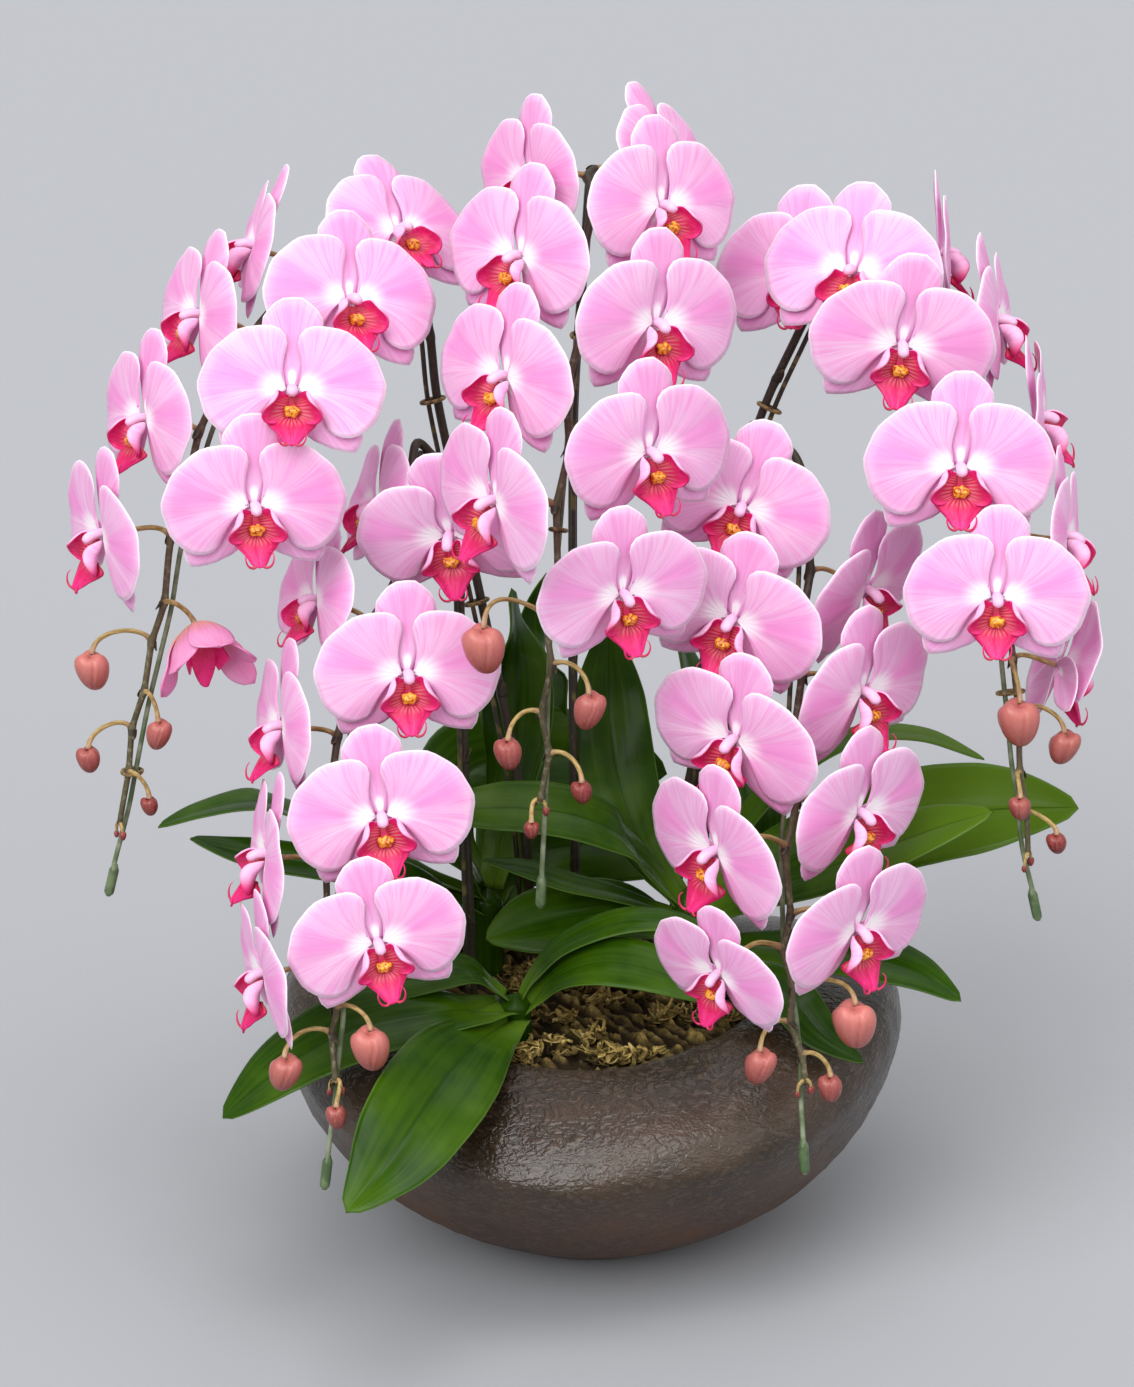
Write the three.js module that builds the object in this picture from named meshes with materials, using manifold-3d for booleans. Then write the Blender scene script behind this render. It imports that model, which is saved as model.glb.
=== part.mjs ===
// A moth orchid arrangement: five arching flower spikes on three plants, in a low hammered bowl.
// Millimetres, +Z up. The origin is the middle of the bowl's flat underside, and -Y is the front.
import * as THREE from "three";
import { mergeVertices } from "three/addons/utils/BufferGeometryUtils.js";
import Module from "manifold-3d";

const wasm = await Module();
wasm.setup();

// Driving dimensions
const GAP = 0.35; // kept between pieces that touch
const TEPAL_THICKNESS = 1.0; // petals and sepals, a little over life
const LIP_THICKNESS = 1.3;
const STEM_RADIUS = 2.6;
const PEDICEL_RADIUS = 1.6;
const WIRE_RADIUS = 1.5;
const WIRE_STAND_OFF = 9; // from the middle of the stem to the middle of the wire
const CAP_RADIUS = 3.0; // the soft cap on a stake's end
const CAP_LENGTH = 20;
const ZIGZAG = 2.5; // how far a stem steps aside at each flower node
const LEAF_THICKNESS = 1.8;
const CROWN_RADIUS = 10; // the sheathed base that a plant's leaves grow from

const BOWL_RADIUS = 191; // at its widest
const BOWL_FOOT_RADIUS = 75;
const BOWL_MOUTH_RADIUS = 110;
const BOWL_FLOOR = 16; // top of the floor inside
const BOWL_SEGMENTS = 24;
const BOWL_TURN = THREE.MathUtils.degToRad(-8); // of the long axis, from +X

const MOSS_TOP = 146;
const MOSS_TUFT = 5; // height of the tufts
const HOLE_CLEARANCE = 2; // below the foot of what stands in a hole, and round a crown
const STEM_HOLE = 9; // radius of the hole in the moss round a stem and its stake

const COLOURS = {
  petal: { color: 0xe9a6dc, roughness: 0.55, metalness: 0 },
  stem: { color: 0x4b4a2e, roughness: 0.6, metalness: 0 },
  leaf: { color: 0x1f4d16, roughness: 0.35, metalness: 0 },
  wire: { color: 0x4f6e4a, roughness: 0.5, metalness: 0 },
  bowl: { color: 0x33271f, roughness: 0.45, metalness: 0 },
  moss: { color: 0x8a6a3a, roughness: 0.95, metalness: 0 },
};

// Solids and meshes
const vector = (x, y, z) => new THREE.Vector3(x, y, z);
const vectors = (rows) => rows.map((row) => vector(...row));

function solidOf(geometry) {
  const bare = geometry.index ? geometry.toNonIndexed() : geometry.clone();
  bare.deleteAttribute("normal");
  bare.deleteAttribute("uv");
  const merged = mergeVertices(bare, 1e-4);
  const index = merged.index.array;
  const kept = [];
  for (let i = 0; i < index.length; i += 3) {
    const [a, b, c] = [index[i], index[i + 1], index[i + 2]];
    if (a !== b && b !== c && c !== a) kept.push(a, b, c);
  }
  const mesh = new wasm.Mesh({
    numProp: 3,
    vertProperties: merged.attributes.position.array,
    triVerts: new Uint32Array(kept),
  });
  return new wasm.Manifold(mesh);
}

function geometryOf(solid) {
  const { numProp, vertProperties, triVerts } = solid.getMesh();
  if (numProp !== 3) throw new Error("only positions are expected");
  const geometry = new THREE.BufferGeometry();
  geometry.setAttribute("position", new THREE.BufferAttribute(vertProperties, 3));
  geometry.setIndex(new THREE.BufferAttribute(triVerts, 1));
  const flat = geometry.toNonIndexed();
  flat.computeVertexNormals();
  return flat;
}

const joined = (solids) => solids.reduce((whole, solid) => whole.add(solid));

// A sheet of triangles, seen from its front, becomes a closed blade: its back is the same sheet
// moved by each point's own step, and a wall follows every edge that only one triangle uses.
function bladeGeometry(points, triangles, steps) {
  const count = points.length;
  const all = [...points, ...points.map((point, i) => point.clone().add(steps[i]))];
  const edges = new Set(triangles.flatMap(([a, b, c]) => [`${a} ${b}`, `${b} ${c}`, `${c} ${a}`]));
  const faces = [...triangles];
  for (const [a, b, c] of triangles) faces.push([a + count, c + count, b + count]);
  for (const edge of edges) {
    const [a, b] = edge.split(" ").map(Number);
    if (edges.has(`${b} ${a}`)) continue;
    faces.push([a, a + count, b + count], [a, b + count, b]);
  }
  const geometry = new THREE.BufferGeometry();
  geometry.setFromPoints(all);
  geometry.setIndex(faces.flat());
  return geometry;
}

function regularShape(radius, sides) {
  const shape = new THREE.Shape();
  for (let i = 0; i < sides; i++) {
    const angle = (2 * Math.PI * i) / sides;
    const [x, y] = [radius * Math.cos(angle), radius * Math.sin(angle)];
    if (i === 0) shape.moveTo(x, y);
    else shape.lineTo(x, y);
  }
  shape.closePath();
  return shape;
}

function tubeSolid(curve, radius, sides, steps) {
  const options = { steps, bevelEnabled: false, extrudePath: curve };
  return solidOf(new THREE.ExtrudeGeometry(regularShape(radius, sides), options));
}

// Straight runs from point to point, so that a tube along them has a ring at each point
class Chain extends THREE.Curve {
  constructor(points) {
    super();
    this.points = points;
  }
  getPoint(t, target = new THREE.Vector3()) {
    const place = t * (this.points.length - 1);
    const i = Math.min(Math.floor(place), this.points.length - 2);
    return target.lerpVectors(this.points[i], this.points[i + 1], place - i);
  }
  getPointAt(t, target) {
    return this.getPoint(t, target);
  }
  getTangentAt(t, target) {
    return this.getTangent(t, target);
  }
}

const chainSolid = (points, radius, sides) =>
  tubeSolid(new Chain(points), radius, sides, points.length - 1);

const root = new THREE.Group();

function addMesh(name, geometry, look) {
  const mesh = new THREE.Mesh(geometry, new THREE.MeshStandardMaterial(COLOURS[look]));
  mesh.name = name;
  root.add(mesh);
  return mesh;
}

// Bowl: a low boat-like bowl with a rolled shoulder. It has two profiles of [radius, height], one
// for its two ends and one for its front and back, and passes from one to the other between them.
const BOWL_ENDS = [
  [0, 0],
  [BOWL_FOOT_RADIUS, 0],
  [98, 13],
  [127, 31],
  [153, 53],
  [174, 82],
  [187, 114],
  [BOWL_RADIUS, 140],
  [182, 160],
  [161, 170],
  [134, 170],
  [BOWL_MOUTH_RADIUS, 159],
  [BOWL_MOUTH_RADIUS + 2, 153],
  [166, 154],
  [179, 132],
  [112, 37],
  [78, BOWL_FLOOR + 3],
  [0, BOWL_FLOOR],
];
const BOWL_SIDES = [
  [0, 0],
  [BOWL_FOOT_RADIUS, 0],
  [98, 13],
  [127, 31],
  [152, 52],
  [171, 73],
  [184, 92],
  [BOWL_RADIUS - 2, 106],
  [181, 119],
  [161, 132],
  [136, 142],
  [BOWL_MOUTH_RADIUS, 146],
  [BOWL_MOUTH_RADIUS + 2, 140],
  [156, 123],
  [171, 107],
  [112, 37],
  [78, BOWL_FLOOR + 3],
  [0, BOWL_FLOOR],
];

function bowlPoint(point, row) {
  const bearing = Math.atan2(point.y, point.x);
  const along = Math.cos(bearing - BOWL_TURN) ** 2;
  const radius = THREE.MathUtils.lerp(BOWL_SIDES[row][0], BOWL_ENDS[row][0], along);
  const height = THREE.MathUtils.lerp(BOWL_SIDES[row][1], BOWL_ENDS[row][1], along);
  point.set(radius * Math.cos(bearing), radius * Math.sin(bearing), height);
}

// Turns a profile of [radius, height] about Z, and passes every point through a function.
function turnedSolid(profile, segments, change) {
  const outline = profile.map(([r, z]) => new THREE.Vector2(r, z));
  const geometry = new THREE.LatheGeometry(outline, segments);
  geometry.rotateX(Math.PI / 2);
  const position = geometry.attributes.position;
  const point = new THREE.Vector3();
  for (let i = 0; i < position.count; i++) {
    point.fromBufferAttribute(position, i);
    if (Math.hypot(point.x, point.y) < 1e-6) point.set(0, 0, point.z);
    change(point, i % profile.length);
    position.setXYZ(i, point.x, point.y, point.z);
  }
  return solidOf(geometry);
}

addMesh("bowl", geometryOf(turnedSolid(BOWL_ENDS, BOWL_SEGMENTS, bowlPoint)), "bowl");

// Blooms. Each row of a table is one point of an outline, in parts of the bloom's width: to the
// right, up, and back from the bloom's face. The left side mirrors the right.
const PETAL_EDGE = [
  [0.25, -0.232, -0.006],
  [0.41, -0.185, 0.0],
  [0.5, 0.03, 0.004],
  [0.43, 0.225, -0.004],
  [0.26, 0.35, -0.02],
  [0.07, 0.345, -0.032],
];
const PETAL_CROWN = [0.24, 0.09, -0.036];
const PETALS_BELOW = [0, -0.055, -0.004];
const PETALS_ABOVE = [0, 0.14, -0.012];
const SEPAL_NOTCH = [0.09, 0.06, 0.012];
const DORSAL_SEPAL = [
  [0.155, 0.375, 0.026],
  [0.08, 0.5, 0.016],
];
const LATERAL_SEPAL = [
  [0.15, -0.268, 0.03],
  [0.345, -0.31, 0.036],
  [0.375, -0.17, 0.034],
];
const SEPALS_BELOW = [0, -0.11, 0.012];
const LIP_SIDE = [
  [0.07, 0.0, -0.1],
  [0.12, -0.12, -0.14],
  [0.12, -0.185, -0.13],
];
const LIP_TIP = [0, -0.285, -0.16];
const LIP_CALLUS = [0, -0.12, -0.075];
const LIP_ROOT = [0, -0.012, -0.022];
const COLUMN_BACK = 3.4; // the stub behind the sepals, where the stalk meets the bloom
const COLUMN_FRONT = 0.085; // ahead of the face, in parts of the width
const COLUMN_RADIUS = 3.2;

const mirrored = ([x, z, y]) => [-x, z, y];
const mirroredBack = (rows) => rows.map(mirrored).reverse();

// Triangles that fan from point 0 to a ring of the points that follow it
function fan(count) {
  return Array.from({ length: count }, (_, i) => [0, 1 + i, 1 + ((i + 1) % count)]);
}

function bloomGeometry(width) {
  const blade = (rows, triangles, thickness) => {
    const points = rows.map(([x, z, y]) => vector(x * width, y * width, z * width));
    const steps = points.map(() => vector(0, thickness, 0));
    return solidOf(bladeGeometry(points, triangles, steps));
  };

  // Two broad, softly domed petals, joined across the middle
  const half = [PETALS_BELOW, ...PETAL_EDGE, PETALS_ABOVE];
  const petalRows = [PETAL_CROWN, ...half, mirrored(PETAL_CROWN), ...mirroredBack(PETAL_EDGE)];
  const above = half.length;
  const leftCrown = above + 1;
  const leftRing = [above, ...PETAL_EDGE.map((_, i) => leftCrown + 1 + i), 1];
  const petals = [...fan(above).slice(0, -1), [0, above, leftCrown], [0, leftCrown, 1]];
  for (let i = 1; i < leftRing.length; i++) {
    petals.push([leftCrown, leftRing[i - 1], leftRing[i]]);
  }

  // Three sepals behind them, in one sheet
  const right = [...LATERAL_SEPAL, SEPAL_NOTCH, ...DORSAL_SEPAL];
  const sepalRows = [SEPALS_BELOW, ...right, ...mirroredBack(right)];
  const outline = sepalRows.map(([x, z]) => new THREE.Vector2(x, z));
  const sepals = THREE.ShapeUtils.triangulateShape(outline, []);

  // The lip: two upright side lobes and a middle lobe, one scoop round the callus
  const lipRing = [LIP_ROOT, ...LIP_SIDE.map(mirrored), LIP_TIP, ...[...LIP_SIDE].reverse()];

  // The column, which runs through all of them
  const column = [vector(0, COLUMN_BACK, 0), vector(0, -COLUMN_FRONT * width, -0.012 * width)];
  return geometryOf(
    joined([
      chainSolid(column, COLUMN_RADIUS, 3),
      blade(sepalRows, sepals, TEPAL_THICKNESS),
      blade(petalRows, petals, TEPAL_THICKNESS),
      blade([LIP_CALLUS, ...lipRing], fan(lipRing.length), LIP_THICKNESS),
    ]),
  );
}

// The five spikes. path runs from the moss up over the arch and down to the stake's end; inside
// is a point within the arch, towards which the stake stands off. Each bloom has its middle,
// then turn (about Z, to the right), tip (face down), roll (clockwise) in degrees, and width.
// Where onward is given, its stalk leaves the stem that much further on.
const SPIKES = {
  far_left: {
    path: [
      [-34, 46, 128], [-43, 38, 258], [-70, 52, 400], [-92, 62, 506], [-99, 62, 562],
      [-116, 50, 598], [-144, 35, 602], [-176, 18, 583], [-204, 5, 552], [-224, -12, 516],
      [-236, -28, 478], [-244, -40, 447], [-250, -48, 413], [-257, -52, 385],
      [-264, -55, 358], [-272, -57, 321], [-280, -58, 281], [-287, -60, 236],
    ],
    inside: [-160, 10, 430],
    left: [
      { at: [-198, 50, 602], turn: -81, tip: -20, roll: 1, width: 105 },
      { at: [-229, 15, 570], turn: -62, tip: -15, roll: 2, width: 104 },
      { at: [-258, -25, 519], turn: -57, tip: -9, roll: -3, width: 106 },
      { at: [-281, -60, 461], turn: -61, tip: 0, roll: 8, width: 106 },
    ],
    right: [
      { at: [-112, 38, 614], turn: 47, tip: -38, roll: 11, width: 105 },
      { at: [-138, -28, 590], turn: 32, tip: -26, roll: 12, width: 108 },
      { at: [-169, -76, 551], turn: 6, tip: -22, roll: 3, width: 106 },
      { at: [-190, -98, 490], turn: 12, tip: -8, roll: 1, width: 105 },
    ],
    buds: [
      { at: [-290, -60, 378], length: 23, radius: 10 },
      { at: [-253, -62, 339], length: 18, radius: 7.5 },
      { at: [-294, -66, 325], length: 15, radius: 7 },
      { at: [-260, -62, 294], length: 11, radius: 5 },
    ],
    halfOpen: { at: [-231, -46, 402], turn: 24, tip: 40 },
  },
  left: {
    path: [
      [-72, -4, 128], [-76, 0, 273], [-78, 10, 366], [-80, 18, 432], [-89, 15, 477],
      [-102, 8, 496], [-105, -8, 486], [-106, -28, 462], [-114, -48, 430],
      [-135, -68, 394], [-145, -88, 352], [-151, -108, 317], [-152, -132, 277],
      [-151, -152, 242], [-147, -166, 209], [-149, -178, 170], [-154, -188, 108],
    ],
    inside: [-100, -50, 380],
    left: [
      { at: [-125, -15, 464], turn: -72, tip: -17, roll: -17, width: 103 },
      { at: [-160, -55, 419], turn: -64, tip: -16, roll: -10, width: 96 },
      { at: [-178, -95, 356], turn: -70, tip: -7, roll: -6, width: 104 },
      { at: [-186, -130, 291], turn: -78, tip: -8, roll: 7, width: 104 },
      { at: [-187, -159, 230], turn: -72, tip: 5, roll: 0, width: 103 },
    ],
    right: [
      { at: [-81.5, -75, 465], turn: -7, tip: 14, roll: -8, width: 107 },
      { at: [-105, -110, 394], turn: 9, tip: -9, roll: 1, width: 107 },
      { at: [-119, -150, 323], turn: 6, tip: -8, roll: -7, width: 107 },
      { at: [-121, -178, 258], turn: 12, tip: -3, roll: -10, width: 103 },
    ],
    buds: [
      { at: [-126, -182, 194], length: 26, radius: 11 },
      { at: [-175, -184, 180], length: 21, radius: 9.5 },
      { at: [-146, -186, 153], length: 14, radius: 6 },
    ],
  },
  middle: {
    path: [
      [-8, 45, 128], [-10, 48, 254], [-11, 70, 376], [-10, 80, 501], [-4, 75, 595],
      [-1, 50, 648], [-1, 10, 645], [-4, -10, 612], [-8, -28, 574], [-13, -45, 538],
      [-17, -62, 495], [-21, -78, 452], [-25, -92, 414], [-26, -98, 384],
      [-27, -102, 360], [-27, -105, 334], [-28, -108, 308], [-30, -112, 251],
    ],
    inside: [-8, 10, 440],
    left: [
      { at: [-36, 15, 650], turn: -55, tip: -7, roll: -5, width: 99 },
      { at: [-42, -25, 615], turn: -44, tip: -13, roll: 0, width: 108 },
      { at: [-50, -65, 556], turn: -46, tip: -10, roll: 3, width: 108 },
      { at: [-55, -138, 506], turn: -55, tip: -2, roll: 8, width: 109 },
    ],
    right: [
      { at: [44, 40, 655], turn: 66, tip: -29, roll: 11, width: 103 },
      { at: [40, -8, 640], turn: 37, tip: -14, roll: 4, width: 105 },
      { at: [36, -48, 582], turn: 32, tip: -5, roll: 6, width: 109 },
      { at: [32, -90, 519], turn: 29, tip: -4, roll: 0, width: 108 },
      { at: [17, -125, 447], turn: 23, tip: 2, roll: -3, width: 104 },
    ],
    buds: [
      { at: [-61, -128, 416], length: 28, radius: 12 },
      { at: [-2, -112, 373], length: 22, radius: 9 },
      { at: [-48, -115, 348], length: 18, radius: 8 },
      { at: [-6, -114, 324], length: 13, radius: 6 },
      { at: [-35, -115, 301], length: 10, radius: 4.5 },
    ],
  },
  right: {
    path: [
      [50, 38, 128], [56, 38, 240], [72, 30, 330], [92, 30, 416], [109, 22, 466],
      [116, 5, 492], [123, -10, 482], [126, -28, 448], [124, -48, 412], [120, -68, 376],
      [118, -85, 345], [116, -105, 311], [113, -118, 286], [112, -130, 258],
      [112, -138, 232], [114, -147, 211], [117, -156, 189], [120, -165, 165],
      [123, -175, 111],
    ],
    inside: [100, -50, 370],
    left: [
      { at: [86, -40, 471], turn: -8, tip: -6, roll: 18, width: 106 },
      { at: [80, -82, 417], turn: -24, tip: 2, roll: 14, width: 110 },
      { at: [80, -125, 360], turn: -35, tip: 6, roll: 12, width: 111 },
      { at: [69, -155, 304], turn: -51, tip: 6, roll: 8, width: 110 },
      { at: [71, -178, 239], turn: -41, tip: 15, roll: 8, width: 94 },
    ],
    right: [
      { at: [161, -25, 415], turn: 51, tip: 13, roll: -13, width: 109 },
      { at: [157, -75, 370], turn: 43, tip: 5, roll: -6, width: 109 },
      { at: [153, -120, 313], turn: 42, tip: 6, roll: -1, width: 107 },
      { at: [151, -155, 256], turn: 37, tip: 9, roll: -4, width: 107 },
    ],
    buds: [
      { at: [150, -165, 201], length: 28, radius: 12.5 },
      { at: [96, -168, 176], length: 21, radius: 9 },
      { at: [137, -165, 161], length: 16, radius: 7 },
    ],
  },
  far_right: {
    path: [
      [70, 40, 128], [66, 46, 260], [70, 54, 350], [84, 62, 431], [103, 70, 496],
      [119, 72, 534], [133, 70, 563], [153, 62, 588], [179, 48, 585], [201, 32, 560],
      [219, 15, 526], [230, 0, 494], [239, -15, 456], [243, -30, 418], [246, -42, 376],
      [250, -48, 343], [253, -51, 316], [258, -54, 289], [260, -56, 262], [266, -60, 220],
    ],
    inside: [165, 10, 420],
    left: [
      { at: [124, 58, 583], turn: -21, tip: -17, roll: -4, width: 107 },
      { at: [150, 8, 598], turn: -19, tip: -25, roll: 0, width: 107, onward: 32 },
      { at: [177, -25, 563], turn: 3, tip: 1, roll: 8, width: 109 },
      { at: [210, -55, 499], turn: 1, tip: -12, roll: 2, width: 111 },
      { at: [230, -88, 432], turn: 0, tip: -10, roll: 2, width: 107 },
    ],
    right: [
      { at: [207, 60, 596], turn: 87, tip: -4, roll: 13, width: 98 },
      { at: [238, 38, 560], turn: 76, tip: -11, roll: 0, width: 107 },
      { at: [262, 12, 509], turn: 82, tip: -7, roll: -15, width: 107 },
      { at: [276, -21, 446], turn: 75, tip: -4, roll: 11, width: 108 },
      { at: [276, -35, 372], turn: 98, tip: 18, roll: 29, width: 107 },
    ],
    buds: [
      { at: [248, -72, 350], length: 28, radius: 12 },
      { at: [276, -62, 331], length: 20, radius: 9 },
      { at: [251, -70, 296], length: 14, radius: 6.5 },
      { at: [274, -66, 272], length: 12, radius: 6 },
    ],
  },
};

const angle = THREE.MathUtils.degToRad;

function bloomTurn({ turn, tip, roll = 0 }) {
  return new THREE.Euler(angle(tip), angle(roll), angle(turn), "ZXY");
}

function addBlooms(spikeName, { left, right }) {
  for (const [row, blooms] of [["left", left], ["right", right]]) {
    blooms.forEach((bloom, i) => {
      const name = `bloom_${spikeName}_spike_${row}_${i + 1}`;
      const mesh = addMesh(name, bloomGeometry(bloom.width), "petal");
      mesh.position.set(...bloom.at);
      mesh.rotation.copy(bloomTurn(bloom));
    });
  }
}

// The frame of a spike's smooth path at a place along it: its point, the way to the inside of
// the arch, and the way across it, to which the flower rows stand off.
function arch(curve, inside, t) {
  const point = curve.getPointAt(t);
  const along = curve.getTangentAt(t);
  const inward = vector(...inside).sub(point);
  inward.addScaledVector(along, -inward.dot(along)).normalize();
  const across = new THREE.Vector3().crossVectors(inward, along).normalize();
  return { point, along, inward, across };
}

function nearestPlace(curve, target, from, to) {
  const tries = 160;
  let best = { t: from, distance: Infinity };
  for (let i = 0; i <= tries; i++) {
    const t = from + ((to - from) * i) / tries;
    const distance = curve.getPointAt(t).distanceTo(target);
    if (distance < best.distance) best = { t, distance };
  }
  return best.t;
}

function budSolid({ length, radius }) {
  const profile = [[0, -0.5], [0.64, -0.34], [1, 0.06], [0.74, 0.38], [0, 0.5]];
  const sized = profile.map(([r, z]) => [r * radius, z * length]);
  return turnedSolid(sized, 5, (point) => point);
}

// A bloom that has only begun to open: a hanging bell of five petals with a hollow mouth
function halfOpenSolid() {
  const profile = [[0, -2], [13, 3], [22, 14], [26, 27], [22, 38], [19, 37], [22, 26], [15, 13], [0, 9]];
  const lobes = (point) => {
    if (point.z < 30) return point;
    point.z += 4 * Math.cos(5 * Math.atan2(point.y, point.x));
    return point;
  };
  return turnedSolid(profile, 10, lobes).rotate([90, 0, 0]);
}

// A stalk leaves the stem along out, and comes to its bloom or bud along -into
function stalkSolid({ node, out, to, into, radius, steps }) {
  const reach = node.distanceTo(to) * 0.42;
  const curve = new THREE.CubicBezierCurve3(
    node,
    node.clone().addScaledVector(out, reach),
    to.clone().addScaledVector(into, reach),
    to,
  );
  return tubeSolid(curve, radius, 3, steps);
}

const STEM_SIDES = 4;
const STEM_STATIONS = [0, 0.3, 0.55, 0.74, 0.87, 0.95, 1]; // up to just below the first flower
const NODE_SPACING = 0.014; // the least, in parts of the stem's length

function spikeSolid(spike) {
  const path = vectors(spike.path);
  const curve = new THREE.CatmullRomCurve3(path, false, "centripetal");
  const apex = path.reduce((top, point, i) => (point.z > path[top].z ? i : top), 0);
  const first = (apex - 2) / (path.length - 1);
  const stemEnd = nearestPlace(curve, path[path.length - 2], 0.5, 1);

  // What hangs from the stem: where its stalk ends, and the way back along the stalk from there
  const solids = [];
  const hung = [];
  for (const bloom of [...spike.left, ...spike.right]) {
    const into = vector(0, 1, 0).applyEuler(bloomTurn(bloom));
    const to = vector(...bloom.at).addScaledVector(into, COLUMN_BACK + GAP);
    hung.push({ to, into, onward: bloom.onward, radius: PEDICEL_RADIUS, steps: 2 });
  }
  for (const bud of spike.buds) {
    const into = vector(0, 0.3, 0.95);
    const to = vector(...bud.at).addScaledVector(vector(0, 0, 1), bud.length * 0.4);
    hung.push({ to, into, radius: PEDICEL_RADIUS, steps: 2 });
    solids.push(budSolid(bud).translate(bud.at));
  }
  if (spike.halfOpen) {
    const turn = bloomTurn(spike.halfOpen);
    const to = vector(...spike.halfOpen.at);
    const matrix = new THREE.Matrix4().makeRotationFromEuler(turn).setPosition(to);
    solids.push(halfOpenSolid().transform(matrix.elements));
    hung.push({ to, into: vector(0, 1, 0).applyEuler(turn), radius: PEDICEL_RADIUS, steps: 2 });
  }

  // Each stalk starts at a node, where the stem steps aside towards it
  for (const piece of hung) {
    const sought = piece.to.clone().addScaledVector(piece.into, 14);
    piece.t = nearestPlace(curve, sought, first, stemEnd);
    if (piece.onward) piece.t += piece.onward / curve.getLength();
  }
  hung.sort((a, b) => a.t - b.t);
  const below = hung[0].t - 0.02;
  const stations = STEM_STATIONS.map((part) => curve.getPointAt(part * below));
  let last = below;
  for (const piece of hung) {
    const { point, across } = arch(curve, spike.inside, piece.t);
    const side = Math.sign(piece.to.clone().sub(point).dot(across)) || 1;
    if (piece.t - last > NODE_SPACING) {
      stations.push(point.addScaledVector(across, side * ZIGZAG));
      last = piece.t;
    }
    piece.node = stations[stations.length - 1];
    piece.out = across.multiplyScalar(side).add(vector(0, 0, 0.5)).normalize();
  }
  if (stemEnd - last > NODE_SPACING) stations.push(curve.getPointAt(stemEnd));
  return joined([
    chainSolid(stations, STEM_RADIUS, STEM_SIDES),
    ...hung.map(stalkSolid),
    ...solids,
  ]);
}

function stakeSolid(spike) {
  const curve = new THREE.CatmullRomCurve3(vectors(spike.path), false, "centripetal");
  const count = 20;
  const points = [];
  for (let i = 0; i <= count; i++) {
    const { point, inward } = arch(curve, spike.inside, i / count);
    const closing = THREE.MathUtils.smoothstep(i / count, 0.93, 1);
    points.push(point.addScaledVector(inward, WIRE_STAND_OFF * (1 - closing)));
  }
  const end = points[count];
  const back = points[count - 1].clone().sub(end).normalize();
  const cap = [end.clone().addScaledVector(back, CAP_LENGTH), end];
  return joined([chainSolid(points, WIRE_RADIUS, 3), chainSolid(cap, CAP_RADIUS, 6)]);
}

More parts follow.
